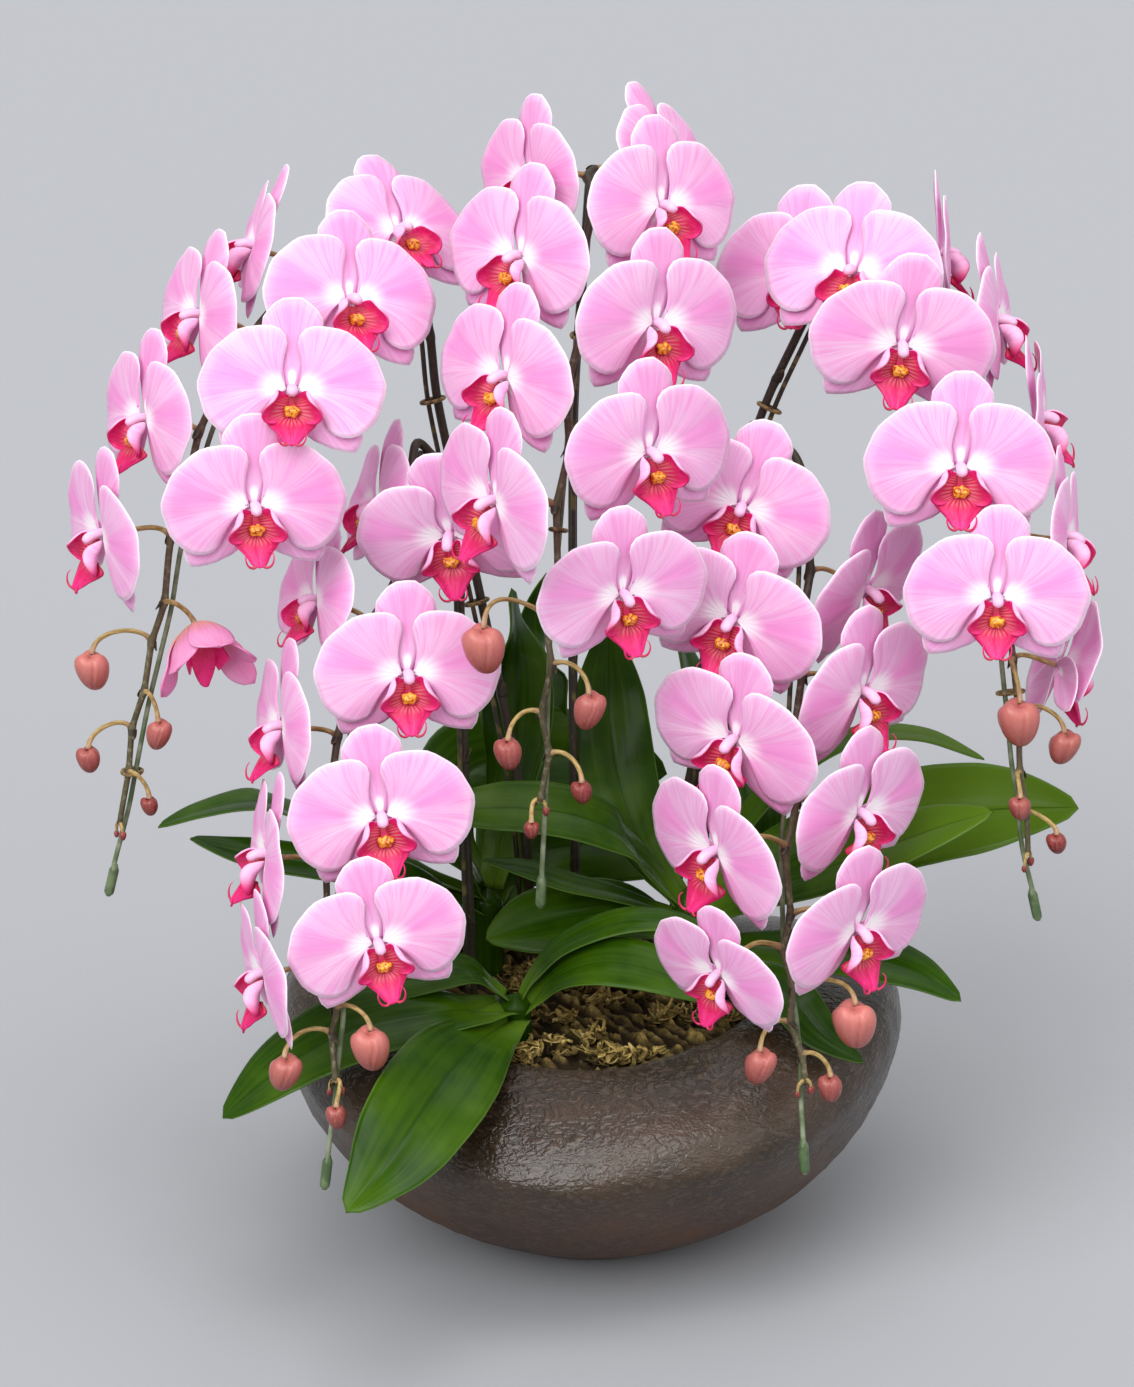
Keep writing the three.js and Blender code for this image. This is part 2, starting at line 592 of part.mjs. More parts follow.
// Leaves. Each grows from its plant's crown along path; half is its half width, and face turns
// it about its own length, towards the front on leaves that lie across.
const PLANTS = {
  front: {
    crown: [[-46, -60, 128], [-46, -61, 172]],
    leaves: [
      {
        path: [
          [-46, -62, 158], [-72, -132, 169], [-94, -190, 164],
          [-116, -228, 145], [-138, -248, 126],
        ],
        half: 32,
        face: -25,
      },
      {
        path: [
          [-48, -61, 160], [-82, -96, 178], [-140, -118, 176],
          [-180, -130, 158], [-216, -142, 131],
        ],
        half: 29,
        face: -16,
      },
      {
        path: [[-48, -60, 166], [-71, -72, 193], [-96, -78, 193], [-119, -84, 189], [-146, -88, 179]],
        half: 15,
        face: -24,
      },
      {
        path: [
          [-44, -59, 163], [-35, -58, 183], [-19, -56, 201],
          [16, -56, 217], [47, -58, 219], [74, -62, 215],
        ],
        half: 12,
        face: 16,
      },
      {
        path: [[-43, -61, 157], [-22, -64, 184], [5, -72, 198], [41, -84, 197], [67, -100, 187]],
        half: 18,
        face: 30,
      },
    ],
  },
  left: {
    crown: [[-64, 34, 128], [-64, 34, 200]],
    leaves: [
      {
        path: [[-64, 34, 190], [-178, 26, 252], [-205, 18, 265], [-238, 12, 261], [-263, 2, 255]],
        half: 20,
        face: 0,
      },
      {
        path: [[-64, 33, 180], [-105, 10, 216], [-170, -8, 235], [-214, -22, 249], [-240, -28, 260]],
        half: 19,
        face: -15,
      },
      {
        path: [
          [-64, 36, 192], [-86, 72, 244], [-75, 92, 258],
          [-32, 108, 260], [13, 116, 254], [49, 114, 244],
        ],
        half: 34,
        face: 42,
      },
      {
        path: [[-64, 34, 185], [-79, 24, 224], [-99, 14, 243], [-119, 6, 252]],
        half: 18,
        face: -25,
      },
      {
        path: [[-62, 36, 192], [-54, 60, 228], [-46, 72, 284], [-45, 80, 327], [-48, 82, 380]],
        half: 23,
        face: 0,
      },
      {
        path: [[-64, 38, 180], [-54, 90, 200], [-42, 138, 238], [-32, 154, 300], [-28, 152, 366]],
        half: 30,
        face: 0,
      },
      {
        path: [[-64, 38, 176], [-48, 66, 202], [-8, 82, 210], [34, 90, 207], [70, 98, 196]],
        half: 31,
        face: 40,
      },
    ],
  },
  right: {
    crown: [[60, 8, 128], [60, 8, 212]],
    leaves: [
      {
        path: [[60, 8, 198], [122, 16, 227], [195, 6, 257], [247, -7, 270], [292, -22, 277]],
        half: 36,
        face: 38,
      },
      {
        path: [[60, 6, 190], [120, -28, 232], [166, -50, 260], [202, -64, 281], [234, -74, 296]],
        half: 24,
        face: 30,
      },
      {
        path: [[60, 10, 200], [111, 52, 258], [161, 64, 288], [204, 66, 290], [244, 58, 277]],
        half: 12,
        face: 8,
      },
      {
        path: [[60, 6, 176], [126, -38, 192], [166, -62, 196], [195, -78, 193], [219, -90, 182]],
        half: 21,
        face: 16,
      },
      {
        path: [[60, 4, 168], [92, -55, 184], [114, -92, 188], [135, -115, 171], [159, -128, 160]],
        half: 17,
        face: 14,
      },
      {
        path: [
          [60, 6, 194], [30, -8, 240], [13, -18, 261],
          [-13, -22, 273], [-43, -22, 277], [-73, -22, 277], [-100, -16, 279],
        ],
        half: 21,
        face: -30,
      },
      {
        path: [[60, 6, 180], [21, 0, 199], [-10, -6, 199], [-40, -12, 195], [-64, -18, 189]],
        half: 24,
        face: -42,
      },
      {
        path: [[60, 6, 192], [16, 0, 211], [-13, -8, 222], [-40, -12, 233], [-65, -14, 240]],
        half: 11,
        face: -16,
      },
      {
        path: [[60, 10, 190], [29, 28, 238], [16, 58, 272], [12, 80, 312], [11, 92, 354]],
        half: 25,
        face: -12,
      },
      {
        path: [[62, 10, 180], [98, 32, 216], [98, 72, 246], [74, 108, 282], [54, 120, 345]],
        half: 24,
        face: 0,
      },
    ],
  },
};

const LEAF_STATIONS = 5;
const LEAF_WIDTHS = [0.32, 0.62, 0.93, 1, 0.78];
const LEAF_KEEL = 0.16; // how far the edges rise over the midrib, in half widths

function leafSolid({ path, half, face }) {
  const [root, ...rest] = vectors(path);
  const outward = rest[0].clone().sub(root).setLength(CROWN_RADIUS * 0.6);
  const run = [root.add(outward), ...rest];
  const curve = new THREE.CatmullRomCurve3(run, false, "centripetal");
  const points = [];
  const steps = [];
  const triangles = [];
  for (let i = 0; i <= LEAF_STATIONS; i++) {
    const t = i / LEAF_STATIONS;
    const along = curve.getTangentAt(t);
    const middle = curve.getPointAt(t);
    const side = new THREE.Vector3().crossVectors(along, vector(0, 0, 1)).normalize();
    side.applyAxisAngle(along, angle(face));
    const up = new THREE.Vector3().crossVectors(side, along).normalize();
    const step = up.clone().multiplyScalar(-LEAF_THICKNESS);
    if (i === LEAF_STATIONS) {
      points.push(middle);
      steps.push(step);
      break;
    }
    const reach = half * LEAF_WIDTHS[i];
    for (const across of [-1, 0, 1]) {
      const point = middle.clone().addScaledVector(side, across * reach);
      point.addScaledVector(up, Math.abs(across) * reach * LEAF_KEEL);
      points.push(point);
      steps.push(step);
    }
  }
  for (let i = 0; i < LEAF_STATIONS - 1; i++) {
    for (const j of [0, 1]) {
      const [a, b, c, d] = [3 * i + j, 3 * i + j + 1, 3 * i + j + 4, 3 * i + j + 3];
      triangles.push([a, b, c], [a, c, d]);
    }
  }
  const [lastRow, tip] = [3 * (LEAF_STATIONS - 1), 3 * LEAF_STATIONS];
  triangles.push([lastRow, lastRow + 1, tip], [lastRow + 1, lastRow + 2, tip]);
  return solidOf(bladeGeometry(points, triangles, steps));
}

function plantSolid({ crown, leaves }) {
  return joined([chainSolid(vectors(crown), CROWN_RADIUS, 6), ...leaves.map(leafSolid)]);
}

// Moss: a plug of fibre that stands on the bowl's floor, with a tufted top and a plain hole for
// each crown, stem and stake.
function mossSolid() {
  const mouth = BOWL_MOUTH_RADIUS - 3 - GAP;
  const profile = [
    [0, BOWL_FLOOR + GAP],
    [mouth, 34 + GAP],
    [mouth, MOSS_TOP - 6],
    [70, MOSS_TOP - 1],
    [0, MOSS_TOP],
  ];
  const tuft = (point) => {
    if (point.z < MOSS_TOP - 3) return;
    const wave = Math.sin(point.x * 0.21 + 1) * Math.cos(point.y * 0.17 - 2);
    point.z += MOSS_TUFT * 0.5 * (wave + Math.sin(point.x * 0.55 + point.y * 0.43));
  };
  let moss = turnedSolid(profile, BOWL_SEGMENTS, tuft);
  const holes = [];
  for (const { crown } of Object.values(PLANTS)) holes.push([crown[0], CROWN_RADIUS + HOLE_CLEARANCE]);
  for (const spike of Object.values(SPIKES)) {
    const curve = new THREE.CatmullRomCurve3(vectors(spike.path), false, "centripetal");
    const { point, inward } = arch(curve, spike.inside, 0);
    holes.push([point.addScaledVector(inward, WIRE_STAND_OFF / 2).toArray(), STEM_HOLE]);
  }
  for (const [[x, y, z], radius] of holes) {
    const drill = [vector(x, y, z - HOLE_CLEARANCE), vector(x, y, z + 60)];
    moss = moss.subtract(chainSolid(drill, radius, 6));
  }
  return moss;
}

addMesh("moss", geometryOf(mossSolid()), "moss");
for (const [name, plant] of Object.entries(PLANTS)) {
  addMesh(`leaves_${name}_plant`, geometryOf(plantSolid(plant)), "leaf");
}
for (const [name, spike] of Object.entries(SPIKES)) {
  addMesh(`stem_${name}_spike`, geometryOf(spikeSolid(spike)), "stem");
  addMesh(`stake_${name}_spike`, geometryOf(stakeSolid(spike)), "wire");
  addBlooms(name, spike);
}

export default root;
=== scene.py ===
"""A moth orchid arrangement in a low hammered bowl: five arching sprays on three plants.

Everything is in metres, +Z up, with -Y the front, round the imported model.
"""

import math

import bpy
import numpy as np
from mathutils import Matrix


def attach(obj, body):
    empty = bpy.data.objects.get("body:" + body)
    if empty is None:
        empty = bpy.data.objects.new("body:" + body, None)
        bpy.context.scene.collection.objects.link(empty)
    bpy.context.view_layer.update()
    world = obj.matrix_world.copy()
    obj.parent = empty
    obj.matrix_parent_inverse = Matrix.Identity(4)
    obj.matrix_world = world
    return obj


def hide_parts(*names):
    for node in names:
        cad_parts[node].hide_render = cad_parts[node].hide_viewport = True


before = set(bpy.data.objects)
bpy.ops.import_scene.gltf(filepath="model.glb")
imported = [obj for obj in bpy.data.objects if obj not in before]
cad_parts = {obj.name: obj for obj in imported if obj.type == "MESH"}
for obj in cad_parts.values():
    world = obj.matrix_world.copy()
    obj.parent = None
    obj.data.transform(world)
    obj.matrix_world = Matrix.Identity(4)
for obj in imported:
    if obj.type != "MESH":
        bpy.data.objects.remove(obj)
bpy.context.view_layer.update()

# The view: the camera stands a little to the left of the middle, over two metres away, and
# looks down by about twenty degrees. The lens is given on the 36 mm long side of the picture.
CAMERA_AT = (-0.0145, -2.171, 1.162)
CAMERA_DOWN = math.radians(20.7)
CAMERA_LENS = 100.6
PICTURE_LONG_SIDE = 36
CAMERA_REACH = 60

camera = bpy.data.objects.new("camera", bpy.data.cameras.new("camera"))
camera.location = CAMERA_AT
camera.rotation_euler = (math.pi / 2 - CAMERA_DOWN, 0, 0)
camera.data.sensor_width = PICTURE_LONG_SIDE
camera.data.lens = CAMERA_LENS
camera.data.clip_end = CAMERA_REACH
bpy.context.scene.collection.objects.link(camera)
bpy.context.scene.camera = camera
bpy.context.scene.view_settings.view_transform = "Standard"

# The floor and the light: one plain pale floor that fills the view, an even pale sky, and broad
# soft suns from the left, the right, above and behind. None of this is part of the object.
FLOOR_HALF = 14.0
FLOOR_DROP = 0.0005
FLOOR_COLOUR = (0.372, 0.380, 0.400, 1)
SKY_COLOUR = (0.97, 0.98, 1.0, 1)
SKY_STRENGTH = 0.46
# name, bearing, height, strength, spread
LIGHTS = [
    ("light_left", -30, 42, 2.2, 45), ("light_right", 50, 35, 0.8, 60),
    ("light_top", 10, 78, 0.9, 30), ("light_back", 165, 60, 0.4, 50),
]


def new_look(name, **shader_values):
    """A material whose Principled shader has these plain values."""
    look = bpy.data.materials.new(name)
    look.use_nodes = True
    for socket, value in shader_values.items():
        shader_of(look).inputs[socket.replace("_", " ")].default_value = value
    return look


def shader_of(look):
    """The Principled shader of a material."""
    return look.node_tree.nodes["Principled BSDF"]


def add_floor():
    """A square of plain floor just under the bowl."""
    half = FLOOR_HALF
    corners = [(-half, -half, 0), (half, -half, 0), (half, half, 0), (-half, half, 0)]
    mesh = bpy.data.meshes.new("floor")
    mesh.from_pydata(corners, [], [(0, 1, 2, 3)])
    mesh.materials.append(new_look("floor_paint", Base_Color=FLOOR_COLOUR, Roughness=0.9))
    floor = bpy.data.objects.new("floor", mesh)
    floor.location.z = -FLOOR_DROP
    bpy.context.scene.collection.objects.link(floor)


def add_light(name, bearing, height, strength, spread):
    """A soft sun from a bearing (0 is the front, 90 the right) and a height, both in degrees."""
    data = bpy.data.lights.new(name, "SUN")
    data.energy = strength
    data.angle = math.radians(spread)
    light = bpy.data.objects.new(name, data)
    light.rotation_euler = (math.radians(90 - height), 0, math.radians(bearing))
    bpy.context.scene.collection.objects.link(light)


add_floor()
for light_name, *light_values in LIGHTS:
    add_light(light_name, *light_values)
sky = bpy.data.worlds.new("sky")
sky.use_nodes = True
background = sky.node_tree.nodes["Background"].inputs
background["Color"].default_value = SKY_COLOUR
background["Strength"].default_value = SKY_STRENGTH
bpy.context.scene.world = sky

# The bowl: one low boat-like vessel of dark hammered ceramic. Its shoulder is rolled over to a
# narrow mouth, and its two ends stand a little higher than its front and back.
BOWL_FLAT = [[0, 0], [40, 0], [73, 0]]
BOWL_ENDS = [
    [73, 0], [78, 1.5], [98, 13], [127, 31], [153, 53], [174, 82], [187, 114], [191, 140],
    [182, 160], [161, 170], [134, 170], [112, 161], [110, 156.5], [112, 153], [140, 158],
    [166, 154], [178, 132], [170, 98], [148, 66], [112, 38], [78, 19], [40, 16.5], [0, 16],
]
BOWL_SIDES = [
    [73, 0], [78, 1.5], [98, 13], [127, 31], [152, 52], [171, 73], [183, 91], [189, 106],
    [181, 119], [161, 132], [136, 142], [112, 146.5], [110, 143.5], [112, 140], [135, 134],
    [156, 124], [170, 107], [164, 86], [144, 62], [112, 38], [78, 19], [40, 16.5], [0, 16],
]
BOWL_TURN = math.radians(-8)
BOWL_FLAT_ROWS, BOWL_SIDE_ROWS, BOWL_COLUMNS = 4, 115, 201
HAMMER_DEPTH = 0.42
MM = 1000  # in a metre
WELD = 1e-6
LEAST_GAP = 1e-6


def smoothstep(value, low, high):
    """0 below low, 1 above high, with a soft start and end between them."""
    part = np.clip((value - low) / (high - low), 0, 1)
    return part * part * (3 - 2 * part)


def trace(points, steps=60):
    """A centripetal Catmull-Rom curve through points, with its fractions of length.

    Each run from point 1 to point 2 is a cubic whose end slopes come from the four points
    round it, with knots spaced by the square root of the distances between them.
    """
    given = np.array(points, float)
    whole = np.vstack([2 * given[0] - given[1], given, 2 * given[-1] - given[-2]])
    p0, p1, p2, p3 = (whole[i : i + len(given) - 1, None, :] for i in range(4))
    d0, d1, d2 = (
        np.maximum(np.sqrt(np.linalg.norm(b - a, axis=-1, keepdims=True)), LEAST_GAP)
        for a, b in ((p0, p1), (p1, p2), (p2, p3))
    )
    slope1 = ((p1 - p0) / d0 - (p2 - p0) / (d0 + d1) + (p2 - p1) / d1) * d1
    slope2 = ((p2 - p1) / d1 - (p3 - p1) / (d1 + d2) + (p3 - p2) / d2) * d1
    u = np.linspace(0, 1, steps, endpoint=False)[None, :, None]
    c2 = -3 * p1 + 3 * p2 - 2 * slope1 - slope2
    c3 = 2 * p1 - 2 * p2 + slope1 + slope2
    line = (p1 + slope1 * u + c2 * u**2 + c3 * u**3).reshape(-1, given.shape[1])
    line = np.vstack([line, given[-1]])
    lengths = np.concatenate([[0], np.cumsum(np.linalg.norm(np.diff(line, axis=0), axis=1))])
    return line, lengths / lengths[-1], lengths[-1]


def point_at(curve, part):
    """The points at those fractions of a traced curve's length."""
    line, fractions, _ = curve
    return np.stack([np.interp(part, fractions, axis) for axis in line.T], axis=-1)


def unit(vectors):
    """The same directions with a length of 1; a zero vector stays zero."""
    return vectors / np.maximum(np.linalg.norm(vectors, axis=-1, keepdims=True), 1e-12)


def smooth_line(points, count):
    """count points, evenly spaced, on the smooth curve through points."""
    return point_at(trace(points), np.linspace(0, 1, count))


def patch_volume(points):
    """The signed volume between a grid of points and the origin: its two triangles a cell."""
    a, b, c, d = points[:-1, :-1], points[:-1, 1:], points[1:, 1:], points[1:, :-1]
    return np.sum(a * np.cross(b, c)) + np.sum(a * np.cross(c, d))


def outward(patches):
    """Turns a closed set of patches so that its faces point out."""
    middle = patches[0][0].reshape(-1, 3).mean(axis=0)
    if sum(patch_volume(points - middle) for points, _, _ in patches) >= 0:
        return patches
    return [(points[:, ::-1], uv[:, ::-1], look) for points, uv, look in patches]


def full_turn(count):
    """count angles round a whole turn, whose last is the first again, so that the seam welds."""
    angles = np.linspace(0, 2 * np.pi, count)
    angles[-1] = 0
    return angles


def add_piece(name, patches, looks, node):
    """Makes one object that stands for a node, with its materials, and gives it a body; the node's
    own part is hidden.

    A patch is a grid of points (rows, columns, 3), its uv (rows, columns, 2) and the place of
    its material in looks. Points that fall together are welded, so that a pole is a fan and a
    seam is closed.
    """
    points = np.concatenate([grid.reshape(-1, 3) for grid, _, _ in patches])
    uvs = np.concatenate([uv.reshape(-1, 2) for _, uv, _ in patches])
    starts = np.cumsum([0] + [grid.shape[0] * grid.shape[1] for grid, _, _ in patches])
    corners, look_of = [], []
    for (grid, _, look), start in zip(patches, starts):
        place = start + np.arange(grid.shape[0] * grid.shape[1]).reshape(grid.shape[:2])
        cells = np.stack([place[:-1, :-1], place[:-1, 1:], place[1:, 1:], place[1:, :-1]], axis=-1)
        corners.append(cells.reshape(-1, 4))
        look_of.append(np.full(len(corners[-1]), look))
    corners, look_of = np.concatenate(corners), np.concatenate(look_of)
    _, first, welded = np.unique(
        np.round(points / WELD).astype(np.int64), axis=0, return_index=True, return_inverse=True
    )
    around = welded.reshape(-1)[corners]
    fresh = around != np.roll(around, 1, axis=1)
    folded = (around[:, 0] == around[:, 2]) | (around[:, 1] == around[:, 3])
    kept = (fresh.sum(axis=1) >= 3) & ~folded
    fresh = fresh[kept]
    mesh = bpy.data.meshes.new(name)
    mesh.vertices.add(len(first))
    mesh.vertices.foreach_set("co", points[first].ravel())
    mesh.loops.add(int(fresh.sum()))
    mesh.loops.foreach_set("vertex_index", around[kept][fresh])
    mesh.polygons.add(len(fresh))
    sizes = fresh.sum(axis=1)
    mesh.polygons.foreach_set("loop_start", np.cumsum(sizes) - sizes)
    mesh.polygons.foreach_set("material_index", look_of[kept])
    mesh.uv_layers.new(name="uv").data.foreach_set("uv", uvs[corners[kept]][fresh].ravel())
    mesh.update(calc_edges=True)
    mesh.validate()
    mesh.shade_smooth()
    for look in looks:
        mesh.materials.append(look)
    piece = bpy.data.objects.new(name, mesh)
    bpy.context.scene.collection.objects.link(piece)
    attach(piece, "root")
    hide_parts(node)


def uv_grid(rows, columns):
    """u runs over the columns and v over the rows, each from 0 to 1."""
    across, down = np.meshgrid(np.linspace(0, 1, columns), np.linspace(0, 1, rows))
    return np.stack([across, down], axis=-1)


def shell(points, look=0, shift=(0, 0)):
    """One closed patch, whose faces point out; shift moves its uv."""
    return outward([(points, uv_grid(*points.shape[:2]) + shift, look)])


def waves(points, count, shortest, longest, seed):
    """A seeded sum of plane waves at points, between about -1 and 1.

    value = sum over waves of sin(direction . point * 2 pi / length + phase) / sqrt(count)
    """
    draw = np.random.default_rng(seed)
    directions = unit(draw.normal(size=(count, 3)))
    lengths = np.exp(draw.uniform(np.log(shortest), np.log(longest), count))
    phases = draw.uniform(0, 2 * np.pi, count)
    angles = points @ (directions / lengths[:, None]).T * 2 * np.pi + phases
    return np.sin(angles).sum(axis=-1) / math.sqrt(count)


def bowl_surface(ends, sides):
    """Two profiles of (radius, height), blended round the bowl and turned about Z.

    The blend follows the squared cosine of the bearing from the long axis, and the hammering
    moves each point along its radius by a sum of waves.
    """
    angles = full_turn(BOWL_COLUMNS)
    along = np.cos(angles - BOWL_TURN)[None, :, None] ** 2
    profile = ends[:, None] * along + sides[:, None] * (1 - along)
    radius, height = profile[..., 0], profile[..., 1]
    out = np.stack([np.cos(angles), np.sin(angles), 0 * angles], axis=-1)[None]
    points = out * radius[..., None]
    points[..., 2] = height
    dents = waves(points, 40, 9, 40, seed=3) * HAMMER_DEPTH * smoothstep(height, 2, 25)
    return (points + out * dents[..., None]) / MM


def add_node(tree, kind, inputs=(), **settings):
    """Adds a node. inputs maps a socket to a number or colour, or to the output that feeds it."""
    made = tree.nodes.new(kind)
    for key, value in settings.items():
        setattr(made, key, value)
    for key, value in dict(inputs).items():
        if isinstance(value, bpy.types.NodeSocket):
            tree.links.new(value, made.inputs[key])
        else:
            made.inputs[key].default_value = value
    return made


def joined(kind, inputs, out=0, **settings):
    """One output of a new node, in the tree of the outputs that feed it."""
    fed = next(value for value in inputs.values() if isinstance(value, bpy.types.NodeSocket))
    return add_node(fed.id_data, kind, inputs, **settings).outputs[out]


def noise(vector, scale, detail=2.0, out=0, **more):
    """Noise over a vector."""
    inputs = {"Vector": vector, "Scale": scale, "Detail": detail, **more}
    return joined("ShaderNodeTexNoise", inputs, out)


def maths(operation, *values, **settings):
    """One Math node on numbers or outputs."""
    return joined("ShaderNodeMath", dict(enumerate(values)), operation=operation, **settings)


def axes(vector):
    """The x, y and z of a vector."""
    return add_node(vector.id_data, "ShaderNodeSeparateXYZ", {0: vector}).outputs


def mixed(factor, first, second, share=None, blend="MIX"):
    """A colour between first and second by factor, or by a share of it.

    first and second are outputs or (red, green, blue).
    """
    if share is not None:
        factor = maths("MULTIPLY", factor, share)
    ends = [(*end, 1) if isinstance(end, tuple) else end for end in (first, second)]
    inputs = {0: factor, 6: ends[0], 7: ends[1]}
    return joined("ShaderNodeMix", inputs, 2, data_type="RGBA", blend_type=blend)


def coordinates(look):
    """The texture coordinates of a material."""
    return add_node(look.node_tree, "ShaderNodeTexCoord").outputs


def new_group(name, inputs, outputs):
    """A node group with these sockets: its tree, the values it is given and its result."""
    group = bpy.data.node_groups.new(name, "ShaderNodeTree")
    for way, sockets in (("INPUT", inputs), ("OUTPUT", outputs)):
        for socket, kind in sockets.items():
            group.interface.new_socket(socket, in_out=way, socket_type=f"NodeSocket{kind}")
    given = group.nodes.new("NodeGroupInput").outputs
    return group, given, group.nodes.new("NodeGroupOutput").inputs


def relief_group():
    """Worm-like wrinkles with a fine grain, as one height, and a broad mottle.

    Sockets: Vector in metres, Scale of the wrinkles, Stretch of them across; Height and Mottle.
    """
    group, given, result = new_group(
        "wrinkle relief", {"Vector": "Vector", "Scale": "Float", "Stretch": "Vector"},
        {"Height": "Float", "Mottle": "Float"},
    )
    stretched = joined(
        "ShaderNodeVectorMath", {0: given["Vector"], 1: given["Stretch"]}, operation="MULTIPLY"
    )
    bent = noise(stretched, 60.0, out="Color")
    pushed = joined(
        "ShaderNodeVectorMath", {0: bent, 1: (0.008, 0.008, 0.008), 2: stretched},
        operation="MULTIPLY_ADD",
    )
    ridges = noise(pushed, given["Scale"], Distortion=0.4)
    folded = maths("ABSOLUTE", maths("SUBTRACT", ridges, 0.5))
    height = maths("MULTIPLY_ADD", noise(pushed, 520.0), 0.16, folded)
    group.links.new(height, result["Height"])
    group.links.new(noise(given["Vector"], 14.0, 5.0, Roughness=0.6), result["Mottle"])
    return group


def ramp(factor, stops):
    """A ramp through stops of (place, colour), where a colour may be one number for a grey."""
    made = add_node(factor.id_data, "ShaderNodeValToRGB", {0: factor})
    elements = made.color_ramp.elements
    while len(elements) < len(stops):
        elements.new(0.5)
    for element, (place, colour) in zip(elements, stops):
        element.position = place
        element.color = (*colour, 1) if isinstance(colour, tuple) else (colour, colour, colour, 1)
    return made.outputs[0]


def dress(look, colour, rough=None, relief=None):
    """Feeds the shader its colour, its roughness and its relief: height, strength, distance."""
    inputs, links = shader_of(look).inputs, look.node_tree.links
    links.new(colour, inputs["Base Color"])
    if rough is not None:
        links.new(rough, inputs["Roughness"])
    if relief is not None:
        values = dict(zip(("Height", "Strength", "Distance"), relief))
        links.new(joined("ShaderNodeBump", values), inputs["Normal"])
    return look


RELIEF = relief_group()


def bowl_look():
    """Dark brown-black ceramic: satin, finely wrinkled and duller low down, where its colour is
    also made browner as a painted reflection of a brown mat under it.
    """
    look = new_look("hammered_ceramic", Specular_IOR_Level=0.55)
    place = coordinates(look)["Object"]
    relief = add_node(
        look.node_tree, "ShaderNodeGroup",
        {"Vector": place, "Scale": 170.0, "Stretch": (0.85, 0.85, 1.6)}, node_tree=RELIEF,
    ).outputs
    height, mottle = relief["Height"], relief["Mottle"]
    dark = ramp(
        mottle,
        [(0.3, (0.012, 0.007, 0.004)), (0.5, (0.027, 0.016, 0.008)), (0.7, (0.062, 0.032, 0.013))],
    )
    worn = mixed(ramp(height, [(0.10, 0), (0.26, 1)]), dark, (0.060, 0.039, 0.024))
    # Painted reflection: low down the colour is multiplied browner, as if the bowl reflected a
    # brown mat under it.
    low = ramp(axes(place)[2], [(0.055, 1), (0.11, 0)])
    brown = mixed(low, worn, (1.40, 0.86, 0.42), blend="MULTIPLY")
    rough = maths("MULTIPLY_ADD", low, 0.30, ramp(mottle, [(0.3, 0.22), (0.7, 0.33)]))
    return dress(look, brown, rough, (height, 0.85, 0.0020))


def whole_profile(rows):
    """The flat underside and one side profile, as one smooth line from the axis to the axis."""
    flat, side = smooth_line(BOWL_FLAT, BOWL_FLAT_ROWS), smooth_line(rows, BOWL_SIDE_ROWS)
    line = np.concatenate([flat[:-1], side])
    line[0, 0] = line[-1, 0] = 0
    return line


bowl_points = bowl_surface(whole_profile(BOWL_ENDS), whole_profile(BOWL_SIDES))
add_piece("bowl_skin", shell(bowl_points), [bowl_look()], "bowl")

# The moss: one springy mass of dried sphagnum that fills the bowl's mouth. A soft lumpy bed lies
# below, and hundreds of curled strands stand on it.
MOUTH_RADIUS = 108.5
MOSS_BED = [
    [0, 17], [60, 22], [104, 38], [106, 60], [106, 130], [106.5, 141], [98, 144], [60, 144],
    [0, 145],
]
WALL_ROWS, TOP_ROWS, BED_COLUMNS = 14, 60, 181
MOSS_LEVEL = 144
BED_SINK = 2
LUMP_HEIGHT = 1.4
MOSS_PITS = 34
PIT_DEPTH = 7
MOSS_STRANDS = 1000
STRAND_ROWS = 9
STRAND_THICKNESS = 0.0006
TUFT = 10
TUFT_SPREAD = 3.6
ROOT_DEPTH = 2.5
HIGHEST_STRAND = 10


def moss_pits():
    """The middles of the pits in mm, and how far each strand must stay off them."""
    draw = np.random.default_rng(31)
    radius = MOUTH_RADIUS * np.sqrt(draw.uniform(0.02, 0.9, MOSS_PITS))
    bearing = draw.uniform(0, 2 * np.pi, MOSS_PITS)
    return radius * np.cos(bearing), radius * np.sin(bearing), draw.uniform(3.0, 5.5, MOSS_PITS)


PITS = moss_pits()


def moss_top(x, y):
    """The tufted height in mm over a place: two long waves, one short wave, and the pits."""
    wave = np.sin(x * 0.21 + 1) * np.cos(y * 0.17 - 2)
    away = np.hypot(x[..., None] - PITS[0], y[..., None] - PITS[1]) / PITS[2]
    pit = PIT_DEPTH * np.exp(-(away**2)).sum(axis=-1)
    return MOSS_LEVEL + 2.5 * (wave + np.sin(x * 0.55 + y * 0.43)) - pit


def moss_bed():
    """The bed's profile turned about Z; its top follows the tufts, the pits and small lumps."""
    wall, crest = smooth_line(MOSS_BED[:5], WALL_ROWS), smooth_line(MOSS_BED[4:], TOP_ROWS)
    profile = np.concatenate([wall[:-1], crest])
    profile[0, 0] = profile[-1, 0] = 0
    angles = full_turn(BED_COLUMNS)
    radius, height = profile[:, 0, None], profile[:, 1, None] + 0 * angles
    x, y = radius * np.cos(angles), radius * np.sin(angles)
    top = smoothstep(height, 138, 143.5)
    sunk = MOSS_LEVEL + BED_SINK
    points = np.stack([x, y, height + top * (moss_top(x, y) - sunk)], axis=-1)
    points[..., 2] += top * waves(points, 30, 5, 16, seed=8) * LUMP_HEIGHT
    points[[0, -1]] = points[[0, -1], :1]
    return shell(points / MM)


